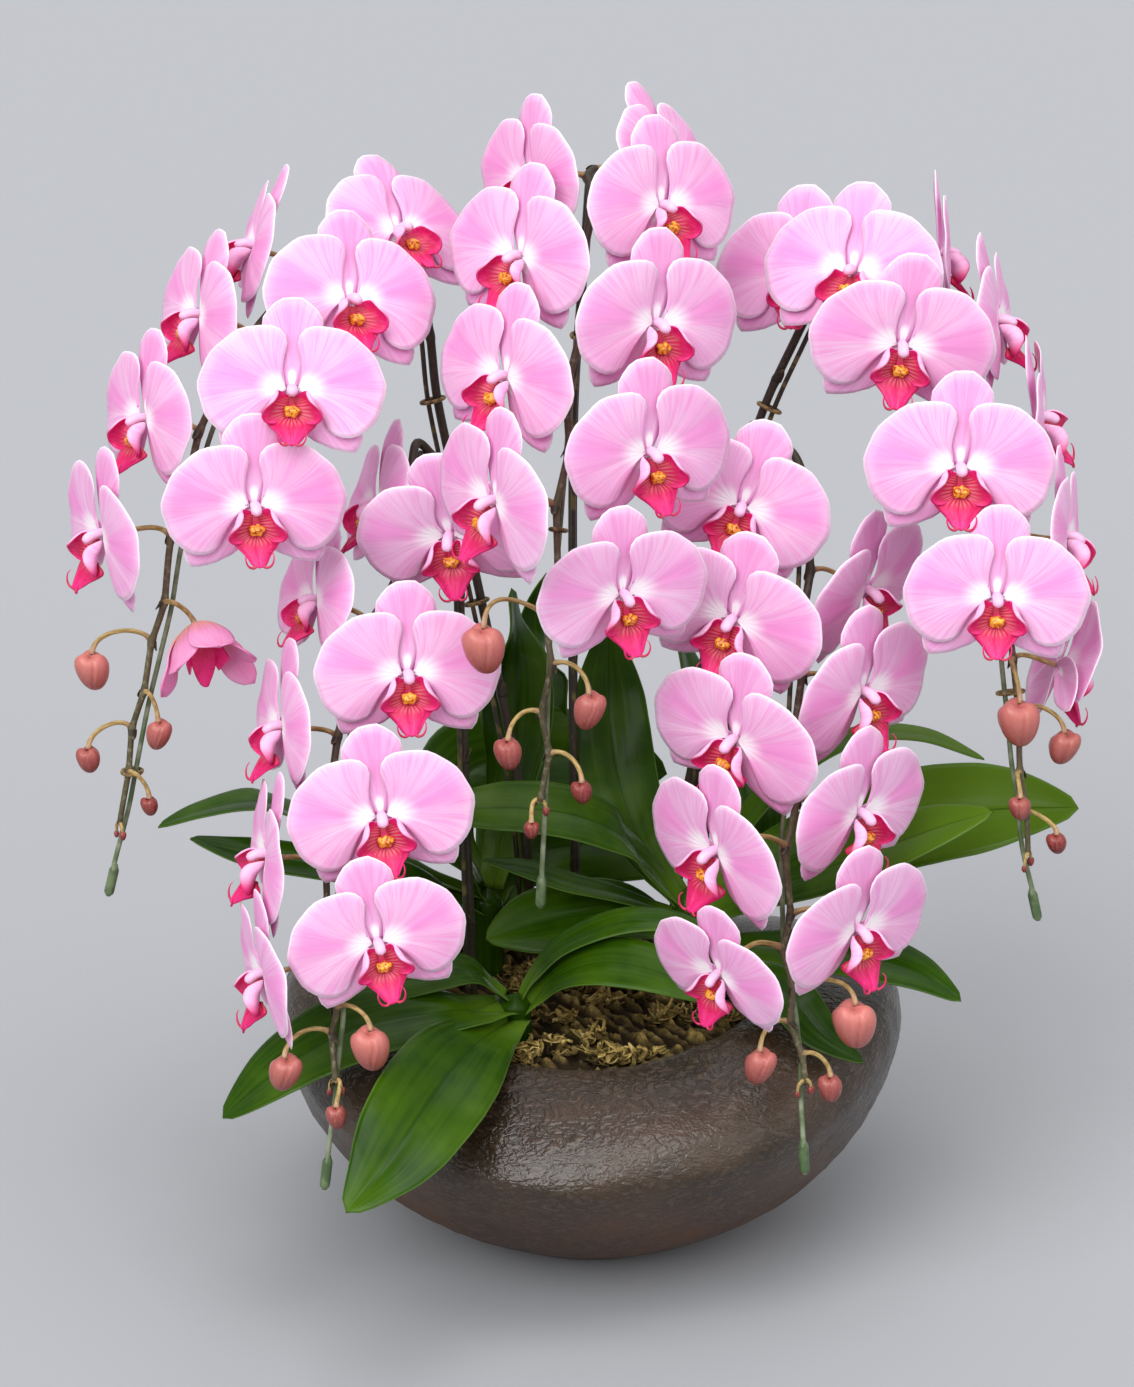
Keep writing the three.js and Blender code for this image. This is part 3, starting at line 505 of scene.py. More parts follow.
def moss_strands():
    """Flat curled strands, each a ribbon along an arc that coils as it rises.

    point(s, v) = foot + run s towards its heading + curl sin and cos of its turning angle,
    with v across its width, which narrows to both ends. Strands grow in tufts, and each foot
    is moved off the nearest pit. Each strand has a front and a back.
    """
    draw = np.random.default_rng(21)
    count = MOSS_STRANDS
    tufts = count // TUFT
    radius = MOUTH_RADIUS * np.sqrt(draw.uniform(0, 0.95, tufts))
    bearing = draw.uniform(0, 2 * np.pi, tufts)
    tuft = np.stack([radius * np.cos(bearing), radius * np.sin(bearing)], axis=-1)
    foot = np.repeat(tuft, TUFT, axis=0) + draw.normal(size=(count, 2)) * TUFT_SPREAD
    offset = foot[:, None] - np.stack(PITS[:2], axis=-1)
    away = np.linalg.norm(offset, axis=-1)
    nearest = away.argmin(axis=1)
    rows = np.arange(count)
    short = np.clip(PITS[2][nearest] * 1.25 - away[rows, nearest], 0, None)
    foot += unit(offset[rows, nearest]) * short[:, None]
    base = moss_top(foot[:, 0], foot[:, 1]) - ROOT_DEPTH
    heading = draw.uniform(0, 2 * np.pi, count)
    run = draw.uniform(5, 14, count)
    curl = draw.uniform(1.6, 4.4, count)
    turns = draw.uniform(0.4, 1.3, count)
    phase = draw.uniform(0, 2 * np.pi, count)
    wide = draw.uniform(0.8, 2.6, count)
    lift = draw.uniform(1.5, 8.0, count)
    s = np.linspace(0, 1, STRAND_ROWS)[None, :, None]
    v = np.array([-1.0, 0.0, 1.0])[None, None, :]

    def each(values):
        """One value for each strand, over its whole grid."""
        return values[:, None, None]

    angle = each(phase) + s * each(turns) * 2 * np.pi
    ahead = each(run) * (s - 0.3) + each(curl) * 0.6 * np.cos(angle)
    narrowing = (0.25 + np.sin(np.pi * (0.15 + 0.85 * s))) * 0.75
    aside = each(curl) * 0.8 * np.sin(angle * 0.7) + v * each(wide) * narrowing
    rise = each(lift) * s**0.8 + each(curl) * 0.5 * (1 + np.sin(angle)) + 0.9 * v**2
    x = each(foot[:, 0]) + ahead * np.cos(each(heading)) - aside * np.sin(each(heading))
    y = each(foot[:, 1]) + ahead * np.sin(each(heading)) + aside * np.cos(each(heading))
    z = each(base) + np.clip(rise, 0, HIGHEST_STRAND)
    inside = np.minimum(1, MOUTH_RADIUS / np.maximum(np.hypot(x, y), 1))
    points = np.stack([x * inside, y * inside, z], axis=-1) / MM
    patches = []
    for i, sheet in enumerate(points):
        patches += blade(sheet, STRAND_THICKNESS, 0, 0, (0, i * 0.37))
    return patches


def blade(sheet, thickness, front, back, shift=(0, 0)):
    """A closed blade round a sheet: it is moved half its thickness to each side along its normal.

    thickness is a number or a grid; the rim joins the two faces. front and back are the places
    of their materials, and shift moves the uv.
    """
    uv = uv_grid(*sheet.shape[:2]) + shift
    crossed = np.cross(np.gradient(sheet, axis=0), np.gradient(sheet, axis=1))
    normal = unit(crossed)
    flat = np.linalg.norm(crossed, axis=-1) < 1e-14
    if flat.any():
        normal[flat] = unit(crossed.reshape(-1, 3).sum(axis=0))
    half = normal * np.broadcast_to(np.asarray(thickness, float), sheet.shape[:2])[..., None] / 2
    top, under = sheet + half, sheet - half
    patches = [(top, uv, front), (under[:, ::-1], uv[:, ::-1], back)]
    for side in (0, -1):
        rim = np.stack([top[:, side], under[:, side]], axis=1)
        end = np.stack([top[side], under[side]], axis=0)
        rim_uv = np.stack([uv[:, side]] * 2, axis=1)
        end_uv = np.stack([uv[side]] * 2, axis=0)
        if side == 0:
            patches += [(rim[:, ::-1], rim_uv[:, ::-1], front), (end[::-1], end_uv[::-1], front)]
        else:
            patches += [(rim, rim_uv, front), (end, end_uv, front)]
    return outward(patches)


def band(value, low, high, shape="SMOOTHSTEP"):
    """0 below low and 1 above high, softly unless shape says otherwise."""
    inputs = {"Value": value, "From Min": low, "From Max": high}
    return joined("ShaderNodeMapRange", inputs, interpolation_type=shape)


def moss_look():
    """Dry moss: golden brown strands with pale straw ends, matt and fibrous; its low hollows and
    pits are painted near black as shade.
    """
    look = new_look("dry_moss", Roughness=0.9, Specular_IOR_Level=0.2)
    place = coordinates(look)["Object"]
    shade = noise(place, 120.0, 4.0, Roughness=0.65)
    broad = ramp(
        shade,
        [(0.32, (0.05, 0.034, 0.008)), (0.45, (0.23, 0.158, 0.042)), (0.57, (0.47, 0.345, 0.105)),
         (0.72, (0.74, 0.60, 0.26))],
    )
    # Painted shade: the lower the moss, from 150 mm down to 141.5 mm, the nearer its colour goes to
    # black, as the shade in its hollows and pits.
    low = band(axes(place)[2], 0.1415, 0.150, "LINEAR")
    return dress(look, mixed(low, (0.020, 0.012, 0.004), broad), relief=(shade, 0.8, 0.002))


add_piece("moss_mass", moss_bed() + moss_strands(), [moss_look()], "moss")

# The three plants: each is a short sheathed crown with its thick strap leaves, which are folded
# at the foot and open out to a keeled blade. Each leaf has its path in mm, half width and facing.
LEAF_THICKNESS = 0.0018
LEAF_ROWS, LEAF_COLUMNS = 49, 17
LEAF_WIDTHS = [0.32, 0.62, 0.93, 1, 0.86, 0.5]
CROWN_RADIUS = 10
CROWN_ROWS = 40
PLANTS = {
    "front": {
        "crown": [[-46, -60, 128], [-46, -61, 172]],
        "leaves": [
            ([[-46, -62, 158], [-72, -132, 169], [-94, -190, 164], [-116, -228, 145],
              [-138, -248, 126]], 32, -25),
            ([[-48, -61, 160], [-82, -96, 178], [-140, -118, 176], [-180, -130, 158],
              [-216, -142, 131]], 29, -16),
            ([[-48, -60, 166], [-71, -72, 193], [-96, -78, 193], [-119, -84, 189],
              [-146, -88, 179]], 15, -24),
            ([[-44, -59, 163], [-35, -58, 183], [-19, -56, 201], [16, -56, 217], [47, -58, 219],
              [74, -62, 215]], 12, 16),
            ([[-43, -61, 157], [-22, -64, 184], [5, -72, 198], [41, -84, 197],
              [67, -100, 187]], 18, 30),
        ],
    },
    "left": {
        "crown": [[-64, 34, 128], [-64, 34, 200]],
        "leaves": [
            ([[-64, 34, 190], [-178, 26, 252], [-205, 18, 265], [-238, 12, 261],
              [-263, 2, 255]], 20, 0),
            ([[-64, 33, 180], [-105, 10, 216], [-170, -8, 235], [-214, -22, 249],
              [-240, -28, 260]], 19, -15),
            ([[-64, 36, 192], [-86, 72, 244], [-75, 92, 258], [-32, 108, 260], [13, 116, 254],
              [49, 114, 244]], 34, 42),
            ([[-64, 34, 185], [-79, 24, 224], [-99, 14, 243], [-119, 6, 252]], 18, -25),
            ([[-62, 36, 192], [-54, 60, 228], [-46, 72, 284], [-45, 80, 327],
              [-48, 82, 380]], 23, 0),
            ([[-64, 38, 180], [-54, 90, 200], [-42, 138, 238], [-32, 154, 300],
              [-28, 152, 366]], 30, 0),
            ([[-64, 38, 176], [-48, 66, 202], [-8, 82, 210], [34, 90, 207], [70, 98, 196]], 31, 40),
        ],
    },
    "right": {
        "crown": [[60, 8, 128], [60, 8, 212]],
        "leaves": [
            ([[60, 8, 198], [122, 16, 227], [195, 6, 257], [247, -7, 270],
              [292, -22, 277]], 36, 38),
            ([[60, 6, 190], [120, -28, 232], [166, -50, 260], [202, -64, 281],
              [234, -74, 296]], 24, 30),
            ([[60, 10, 200], [111, 52, 258], [161, 64, 288], [204, 66, 290],
              [244, 58, 277]], 12, 8),
            ([[60, 6, 176], [126, -38, 192], [166, -62, 196], [195, -78, 193],
              [219, -90, 182]], 21, 16),
            ([[60, 4, 168], [92, -55, 184], [114, -92, 188], [135, -115, 171],
              [159, -128, 160]], 17, 14),
            ([[60, 6, 194], [30, -8, 240], [13, -18, 261], [-13, -22, 273], [-43, -22, 277],
              [-73, -22, 277], [-100, -16, 279]], 21, -30),
            ([[60, 6, 180], [21, 0, 199], [-10, -6, 199], [-40, -12, 195],
              [-64, -18, 189]], 24, -42),
            ([[60, 6, 192], [16, 0, 211], [-13, -8, 222], [-40, -12, 233],
              [-65, -14, 240]], 11, -16),
            ([[60, 10, 190], [29, 28, 238], [16, 58, 272], [12, 80, 312], [11, 92, 354]], 25, -12),
            ([[62, 10, 180], [98, 32, 216], [98, 72, 246], [74, 108, 282], [54, 120, 345]], 24, 0),
        ],
    },
}


def leaf_width(part):
    """The width at each part of the length, in half widths: smooth, with a rounded tip."""
    stations = np.linspace(0, 1, len(LEAF_WIDTHS))
    before, after = (np.interp(part + step, stations, LEAF_WIDTHS) for step in (-0.04, 0.04))
    tip = np.sqrt(np.clip(1 - (np.clip(part - 0.7, 0, 1) / 0.3) ** 2.2, 0, 1))
    return (before + after) / 2 * tip


def heading_at(curve, part, step=0.004):
    """The unit headings there: the chord over a short step on either side."""
    after, before = np.minimum(part + step, 1), np.maximum(part - step, 0)
    return unit(point_at(curve, after) - point_at(curve, before))


def leaf(path, half, face, seed):
    """A keeled blade along its path.

    point(s, v) = path(s) + side v width(s) + up (keel width(s) |v| + small waves), where side
    is level, turned by face about the path. The foot is folded more, and the edges wave a
    little. u runs across the blade and v along it.
    """
    line = np.array(path, float)
    line[0] += unit(line[1] - line[0]) * CROWN_RADIUS * 0.6
    curve = trace(line)
    part, v = np.linspace(0, 1, LEAF_ROWS), np.linspace(-1, 1, LEAF_COLUMNS)
    middle, along = point_at(curve, part), heading_at(curve, part, 0.02)
    side = unit(np.cross(along, [0, 0, 1.0]))
    turn = math.radians(face)
    side = side * math.cos(turn) + np.cross(along, side) * math.sin(turn)
    up = unit(np.cross(side, along))
    reach = half * leaf_width(part)[:, None]
    keel = 0.15 + 0.5 * (1 - smoothstep(part, 0, 0.16))[:, None]
    draw = np.random.default_rng(seed)
    phase, amount = draw.uniform(0, 2 * np.pi, 3), draw.uniform(0.5, 1.0, 3)
    slow, quick = np.sin(part[:, None] * 9 + phase[0]), np.sin(part[:, None] * 15 + phase[1])
    swing = slow * amount[0] + quick * 0.4
    rise = keel * reach * (np.abs(v) - 0.16 * np.exp(-((v / 0.16) ** 2))) - 0.05 * reach * v**2
    rise = rise + swing * v * np.abs(v) * reach * 0.035
    points = middle[:, None] + side[:, None] * (v * reach)[..., None]
    points += up[:, None] * rise[..., None]
    points -= up[:, None] * LEAF_THICKNESS * (MM / 2)
    edge = (0.45 + 0.55 * (1 - v**6))[None, :]
    thick = LEAF_THICKNESS * edge * np.ones((LEAF_ROWS, 1))
    return blade(points / MM, thick, 0, 0, (draw.integers(1, 40), 0))


def frame_along(along, reference):
    """Two cross directions for each heading, from one reference that none of them follows."""
    side = unit(reference - along * np.sum(along * reference, axis=-1, keepdims=True))
    return side, np.cross(along, side)


def tube(line, radius, reference, sides=10, look=0):
    """A round tube: ring(i, a) = line(i) + radius(i) (side cos a + other sin a), closed ends.

    u runs round the tube and v along it. line is in mm.
    """
    line = np.asarray(line, float)
    along = unit(np.gradient(line, axis=0))
    side, other = frame_along(along, np.asarray(reference, float))
    angles = full_turn(sides + 1)
    wide = (np.ones(len(line)) * radius)[:, None, None]
    ring = side[:, None] * np.cos(angles)[:, None] + other[:, None] * np.sin(angles)[:, None]
    points = line[:, None] + wide * ring
    ends = [np.repeat(line[i][None, None], sides + 1, axis=1) for i in (0, -1)]
    points = np.concatenate([ends[0], points, ends[1]])
    return shell(points / MM, look)


def crown(path):
    """The crown: a tube of overlapping sheaths, each with a small ledge, rounded on top."""
    part = np.linspace(0, 1, CROWN_ROWS)
    ledges = 1 + 0.07 * np.abs(((part * 4) % 1) - 0.5)
    radius = CROWN_RADIUS * ledges * np.sqrt(np.clip(1.02 - smoothstep(part, 0.85, 1), 0.02, 1))
    return tube(point_at(trace(path), part), radius, (1, 0.2, 0), sides=16)


def times(first, second):
    """The product of two numbers or outputs."""
    return maths("MULTIPLY", first, second)


def one_minus(value):
    """What an output leaves of 1."""
    return maths("SUBTRACT", 1.0, value)


def off_from(value, middle):
    """How far an output is from a number, on either side."""
    return maths("ABSOLUTE", maths("SUBTRACT", value, middle))


def streak_group():
    """Streaks along a blade, from noise that is stretched along v.

    Sockets: UV, Object in metres, Across and Along as the two scales; Streak and Patch.
    """
    group, given, result = new_group(
        "lengthwise streaks",
        {"UV": "Vector", "Object": "Vector", "Across": "Float", "Along": "Float"},
        {"Streak": "Float", "Patch": "Float"},
    )
    u, v, _ = axes(given["UV"])
    scaled = {
        0: times(u, given["Across"]), 1: times(v, given["Along"]),
        2: times(axes(given["Object"])[0], 9.0),
    }
    group.links.new(noise(joined("ShaderNodeCombineXYZ", scaled), 1.0, 3.0), result["Streak"])
    group.links.new(noise(given["Object"], 22.0, 3.0), result["Patch"])
    return group


def streaks(place, across, along):
    """The streak and the patch of the streak group, over these coordinates and scales."""
    inputs = {"UV": place["UV"], "Object": place["Object"], "Across": across, "Along": along}
    made = add_node(place["UV"].id_data, "ShaderNodeGroup", inputs, node_tree=STREAKS).outputs
    return made["Streak"], made["Patch"]


STREAKS = streak_group()


def leaf_look():
    """Thick satin green: faint lengthwise veins, a sunken midrib darkened with painted shade in its
    groove, and a paler thin edge.

    The broad leaves that reach out high on the right, away from the blooms, have painted light: a
    lighter green where they catch more light.
    """
    look = new_look("glossy_leaf", Specular_IOR_Level=0.13)
    place = coordinates(look)
    streak, patch = streaks(place, 17.0, 0.9)
    u, v, _ = axes(place["UV"])
    x, _, z = axes(place["Object"])
    across = maths("FRACT", u)
    off = off_from(across, 0.5)
    base = ramp(
        patch,
        [(0.3, (0.010, 0.038, 0.001)), (0.5, (0.021, 0.066, 0.001)), (0.72, (0.050, 0.116, 0.003))],
    )
    # Painted light: the broad leaves out to the right and high up are mixed to a lighter green,
    # where they catch more light.
    painted_light_mask = times(band(x, 0.12, 0.20), band(z, 0.225, 0.25))
    with_painted_light = mixed(painted_light_mask, base, (0.082, 0.165, 0.008), 0.8)
    young = mixed(band(v, 0.22, 0.0), with_painted_light, (0.13, 0.25, 0.018), 0.7)
    lined = mixed(band(streak, 0.40, 0.66), young, (0.085, 0.175, 0.010), 0.16)
    # Painted shade: a dark green line along the sunken midrib, where its groove is shaded.
    ribbed = mixed(one_minus(band(off, 0.004, 0.020)), lined, (0.009, 0.034, 0.002), 0.55)
    edged = mixed(band(off, 0.476, 0.498), ribbed, (0.13, 0.24, 0.05), 0.5)
    height = maths("MULTIPLY_ADD", maths("SINE", times(across, 75.4)), 0.10, streak)
    rough = maths("MULTIPLY_ADD", streak, 0.12, 0.17)
    return dress(look, edged, rough, (height, 0.14, 0.0006))


LEAF_LOOK = leaf_look()
for plant, (plant_name, parts) in enumerate(PLANTS.items()):
    patches = crown(parts["crown"])
    for place, (path, half, face) in enumerate(parts["leaves"]):
        patches += leaf(path, half, face, 100 * plant + place)
    add_piece(f"plant_{plant_name}", patches, [LEAF_LOOK], f"leaves_{plant_name}_plant")

# The flower spikes: woody green-brown stems that arch over, with a swelling and a small bract at
# each flower, a curved tan stalk for each bloom, and salmon-brown buds at the drooping end.
COLUMN_BACK = 3.4
GAP = 0.35
ZIGZAG = 2.5
NODE_SPACING = 0.014
BEHIND = 14
TRIES = 161  # places along a stem that are tried for the nearest
BUD_TOP = 0.46  # from a bud's middle to its stalk, in parts of its length
BUD_BACK = (0, 0.3, 0.95)
RINGS = (0.16, 0.42, 0.68, 0.9)  # along the bare part below the first flower
STEM_RADII = (3.0, 2.6, 1.7)  # at the foot, at the first flower and at the end
BRACT_LENGTHS = (9.0, 5.5)  # at a ring and at a flower
STEM_ROWS = 320
STALK_ROWS = 22
BRACT_GRID = (9, 9)
BRACT_THICKNESS = 0.0005
# In mm and degrees. A bloom has its place, turn, tip, roll and width, and one has how much
# further along the stem its stalk sets off. A bud has its place, length and radius, and the half
# open bloom its place, turn and tip. inside is a point that the stem arches round.
SPIKES = {
    "far_left": {
        "path": [
            [-34, 46, 128], [-43, 38, 258], [-70, 52, 400], [-92, 62, 506], [-99, 62, 562],
            [-116, 50, 598], [-144, 35, 602], [-176, 18, 583], [-204, 5, 552], [-224, -12, 516],
            [-236, -28, 478], [-244, -40, 447], [-250, -48, 413], [-257, -52, 385],
            [-264, -55, 358], [-272, -57, 321], [-280, -58, 281], [-287, -60, 236],
        ],
        "inside": [-160, 10, 430],
        "left": [
            ([-198, 50, 602], -81, -20, 1, 105),
            ([-229, 15, 570], -62, -15, 2, 104),
            ([-258, -25, 519], -57, -9, -3, 106),
            ([-281, -60, 461], -61, 0, 8, 106),
        ],
        "right": [
            ([-112, 38, 614], 47, -38, 11, 105),
            ([-138, -28, 590], 32, -26, 12, 108),
            ([-169, -76, 551], 6, -22, 3, 106),
            ([-190, -98, 490], 12, -8, 1, 105),
        ],
        "buds": [
            ([-290, -60, 378], 23, 10),
            ([-253, -62, 339], 18, 7.5),
            ([-294, -66, 325], 15, 7),
            ([-260, -62, 294], 11, 5),
        ],
        "half_open": [([-231, -46, 402], 24, 40)],
    },
    "left": {
        "path": [
            [-72, -4, 128], [-76, 0, 273], [-78, 10, 366], [-80, 18, 432], [-89, 15, 477],
            [-102, 8, 496], [-105, -8, 486], [-106, -28, 462], [-114, -48, 430], [-135, -68, 394],
            [-145, -88, 352], [-151, -108, 317], [-152, -132, 277], [-151, -152, 242],
            [-147, -166, 209], [-149, -178, 170], [-154, -188, 108],
        ],
        "inside": [-100, -50, 380],
        "left": [
            ([-125, -15, 464], -72, -17, -17, 103),
            ([-160, -55, 419], -64, -16, -10, 96),
            ([-178, -95, 356], -70, -7, -6, 104),
            ([-186, -130, 291], -78, -8, 7, 104),
            ([-187, -159, 230], -72, 5, 0, 103),
        ],
        "right": [
            ([-81.5, -75, 465], -7, 14, -8, 107),
            ([-105, -110, 394], 9, -9, 1, 107),
            ([-119, -150, 323], 6, -8, -7, 107),
            ([-121, -178, 258], 12, -3, -10, 103),
        ],
        "buds": [
            ([-126, -182, 194], 26, 11),
            ([-175, -184, 180], 21, 9.5),
            ([-146, -186, 153], 14, 6),
        ],
    },
    "middle": {
        "path": [
            [-8, 45, 128], [-10, 48, 254], [-11, 70, 376], [-10, 80, 501], [-4, 75, 595],
            [-1, 50, 648], [-1, 10, 645], [-4, -10, 612], [-8, -28, 574], [-13, -45, 538],
            [-17, -62, 495], [-21, -78, 452], [-25, -92, 414], [-26, -98, 384], [-27, -102, 360],
            [-27, -105, 334], [-28, -108, 308], [-30, -112, 251],
        ],
        "inside": [-8, 10, 440],
        "left": [
            ([-36, 15, 650], -55, -7, -5, 99),
            ([-42, -25, 615], -44, -13, 0, 108),
            ([-50, -65, 556], -46, -10, 3, 108),
            ([-55, -138, 506], -55, -2, 8, 109),
        ],
        "right": [
            ([44, 40, 655], 66, -29, 11, 103),
            ([40, -8, 640], 37, -14, 4, 105),
            ([36, -48, 582], 32, -5, 6, 109),
            ([32, -90, 519], 29, -4, 0, 108),
            ([17, -125, 447], 23, 2, -3, 104),
        ],
        "buds": [
            ([-61, -128, 416], 28, 12),
            ([-2, -112, 373], 22, 9),
            ([-48, -115, 348], 18, 8),
            ([-6, -114, 324], 13, 6),
            ([-35, -115, 301], 10, 4.5),
        ],
    },
    "right": {
        "path": [
            [50, 38, 128], [56, 38, 240], [72, 30, 330], [92, 30, 416], [109, 22, 466],
            [116, 5, 492], [123, -10, 482], [126, -28, 448], [124, -48, 412], [120, -68, 376],
            [118, -85, 345], [116, -105, 311], [113, -118, 286], [112, -130, 258],
            [112, -138, 232], [114, -147, 211], [117, -156, 189], [120, -165, 165],
            [123, -175, 111],
        ],
        "inside": [100, -50, 370],
        "left": [
            ([86, -40, 471], -8, -6, 18, 106),
            ([80, -82, 417], -24, 2, 14, 110),
            ([80, -125, 360], -35, 6, 12, 111),
            ([69, -155, 304], -51, 6, 8, 110),
            ([71, -178, 239], -41, 15, 8, 94),
        ],
        "right": [
            ([161, -25, 415], 51, 13, -13, 109),
            ([157, -75, 370], 43, 5, -6, 109),
            ([153, -120, 313], 42, 6, -1, 107),
            ([151, -155, 256], 37, 9, -4, 107),
        ],
        "buds": [
            ([150, -165, 201], 28, 12.5),
            ([96, -168, 176], 21, 9),
            ([137, -165, 161], 16, 7),
        ],
    },
    "far_right": {
        "path": [
            [70, 40, 128], [66, 46, 260], [70, 54, 350], [84, 62, 431], [103, 70, 496],
            [119, 72, 534], [133, 70, 563], [153, 62, 588], [179, 48, 585], [201, 32, 560],
            [219, 15, 526], [230, 0, 494], [239, -15, 456], [243, -30, 418], [246, -42, 376],
            [250, -48, 343], [253, -51, 316], [258, -54, 289], [260, -56, 262], [266, -60, 220],
        ],
        "inside": [165, 10, 420],
        "left": [
            ([124, 58, 583], -21, -17, -4, 107),
            ([150, 8, 598], -19, -25, 0, 107, 32),
            ([177, -25, 563], 3, 1, 8, 109),
            ([210, -55, 499], 1, -12, 2, 111),
            ([230, -88, 432], 0, -10, 2, 107),
        ],
        "right": [
            ([207, 60, 596], 87, -4, 13, 98),
            ([238, 38, 560], 76, -11, 0, 107),
            ([262, 12, 509], 82, -7, -15, 107),
            ([276, -21, 446], 75, -4, 11, 108),
            ([276, -35, 372], 98, 18, 29, 107),
        ],
        "buds": [
            ([248, -72, 350], 28, 12),
            ([276, -62, 331], 20, 9),
            ([251, -70, 296], 14, 6.5),
            ([274, -66, 272], 12, 6),
        ],
    },
}


def bloom_turn(turn, tip, roll=0):
    """Rz(turn) Rx(tip) Ry(roll), for a bloom that faces -Y, with angles in degrees."""
    a, b, c = (math.radians(value) for value in (turn, tip, roll))
    about_z = np.array([[math.cos(a), -math.sin(a), 0], [math.sin(a), math.cos(a), 0], [0, 0, 1]])
    about_x = np.array([[1, 0, 0], [0, math.cos(b), -math.sin(b)], [0, math.sin(b), math.cos(b)]])
    about_y = np.array([[math.cos(c), 0, math.sin(c)], [0, 1, 0], [-math.sin(c), 0, math.cos(c)]])
    return about_z @ about_x @ about_y


def arch(curve, inside, part):
    """At parts of the stem's length: the point, the way in and the way across the arch."""
    point, along = point_at(curve, part), heading_at(curve, part)
    toward = np.array(inside, float) - point
    inward = unit(toward - along * np.sum(toward * along, axis=-1, keepdims=True))
    return point, inward, unit(np.cross(inward, along))


def hang(spike):
    """Everything that hangs from a stem: where its stalk ends, the way back, and its node.

    The node is the place on the curve that is nearest to a point BEHIND the stalk's end. Gives
    the curve, what hangs, the knots as parts of its length, their sides and the stem's end.
    """
    curve = trace(spike["path"])
    path = np.array(spike["path"], float)
    first = (int(path[:, 2].argmax()) - 2) / (len(path) - 1)
    tries = np.linspace(0.5, 1, TRIES)
    stem_end = tries[np.linalg.norm(point_at(curve, tries) - path[-2], axis=1).argmin()]
    hung = []
    for at, turn, tip, roll, _, *onward in spike["left"] + spike["right"]:
        into = bloom_turn(turn, tip, roll) @ [0, 1, 0]
        to = np.array(at) + into * (COLUMN_BACK + GAP)
        hung.append({"to": to, "into": into, "onward": sum(onward)})
    for at, length, _ in spike["buds"]:
        to = np.array(at) + [0, 0, BUD_TOP * length]
        hung.append({"to": to, "into": np.array(BUD_BACK), "bud": True})
    for at, turn, tip in spike.get("half_open", []):
        hung.append({"to": np.array(at, float), "into": bloom_turn(turn, tip) @ [0, 1, 0]})
    tries = np.linspace(first, stem_end, TRIES)
    for piece in hung:
        behind = piece["to"] + piece["into"] * BEHIND
        away = np.linalg.norm(point_at(curve, tries) - behind, axis=1)
        piece["part"] = tries[away.argmin()] + piece.get("onward", 0) / curve[2]
        point, _, across = arch(curve, spike["inside"], np.array([piece["part"]]))
        piece["side"] = 1.0 if (piece["to"] - point[0]) @ across[0] >= 0 else -1.0
    hung.sort(key=lambda piece: piece["part"])
    knots, sides = [hung[0]["part"] - 0.02], [0.0]
    for piece in hung:
        if piece["part"] - knots[-1] > NODE_SPACING:
            knots.append(piece["part"])
            sides.append(piece["side"])
        piece["knot"] = len(knots) - 1
    stop = stem_end if stem_end - knots[-1] > NODE_SPACING else knots[-1]
    return curve, hung, np.array(knots), np.array(sides), stop


def stem_line(spike, curve, knots, sides, part):
    """The stem's middle: the curve, stepped across by ZIGZAG at each knot and eased between."""
    point, _, across = arch(curve, spike["inside"], part)
    step = np.interp(part, [0, *knots], [0, *sides]) * ZIGZAG
    return point + across * step[:, None]


def stem(spike, curve, knots, sides, stop):
    """A tube that tapers, with a soft swelling at each knot and rings lower down."""
    part = np.linspace(0, stop, STEM_ROWS)
    line = stem_line(spike, curve, knots, sides, part)
    low = knots[0] * np.array(RINGS)
    radius = np.interp(part, [0, knots[0], stop], STEM_RADII)
    for rings, height, spread in ((knots[1:], 0.75, 2.6), (low, 0.55, 2.0)):
        away = (part[:, None] - rings) * curve[2] / spread
        radius = radius + height * np.exp(-(away**2)).sum(axis=1).clip(0, 1.2)
    around = arch(curve, spike["inside"], part[:1])[2][0]
    patches = tube(line, radius, around, sides=12)
    for i, knot in enumerate(np.concatenate([low, knots[1:]])):
        length = BRACT_LENGTHS[0 if i < len(low) else 1]
        patches += bract(spike, curve, knots, sides, knot, length, i)
    return patches


def steps(grid, first=0):
    """How far the rows are, from 0 to 1 down, and the columns, from first to 1 across."""
    rows, columns = grid
    return np.linspace(0, 1, rows)[:, None], np.linspace(first, 1, columns)[None, :]


def bract(spike, curve, knots, sides, knot, length, seed):
    """A small pointed scale that clasps the stem at a knot: half a cone that narrows upward."""
    s, a = steps(BRACT_GRID, -1)
    part = np.clip(knot + s[:, 0] * length / curve[2], 0, 1)
    line = stem_line(spike, curve, knots, sides, part)
    _, inward, across = arch(curve, spike["inside"], part)
    draw = np.random.default_rng(900 + seed)
    bearing = draw.uniform(0, 2 * np.pi) + a * 1.25 * (1 - s) ** 0.7
    radius = (3.0 if length > 7 else 2.5) + 0.35 + 1.1 * s**1.5
    ring = inward[:, None] * np.cos(bearing)[..., None]
    ring = ring + across[:, None] * np.sin(bearing)[..., None]
    points = line[:, None] + ring * np.broadcast_to(radius, bearing.shape)[..., None]
    return blade(points / MM, BRACT_THICKNESS, 0, 0)


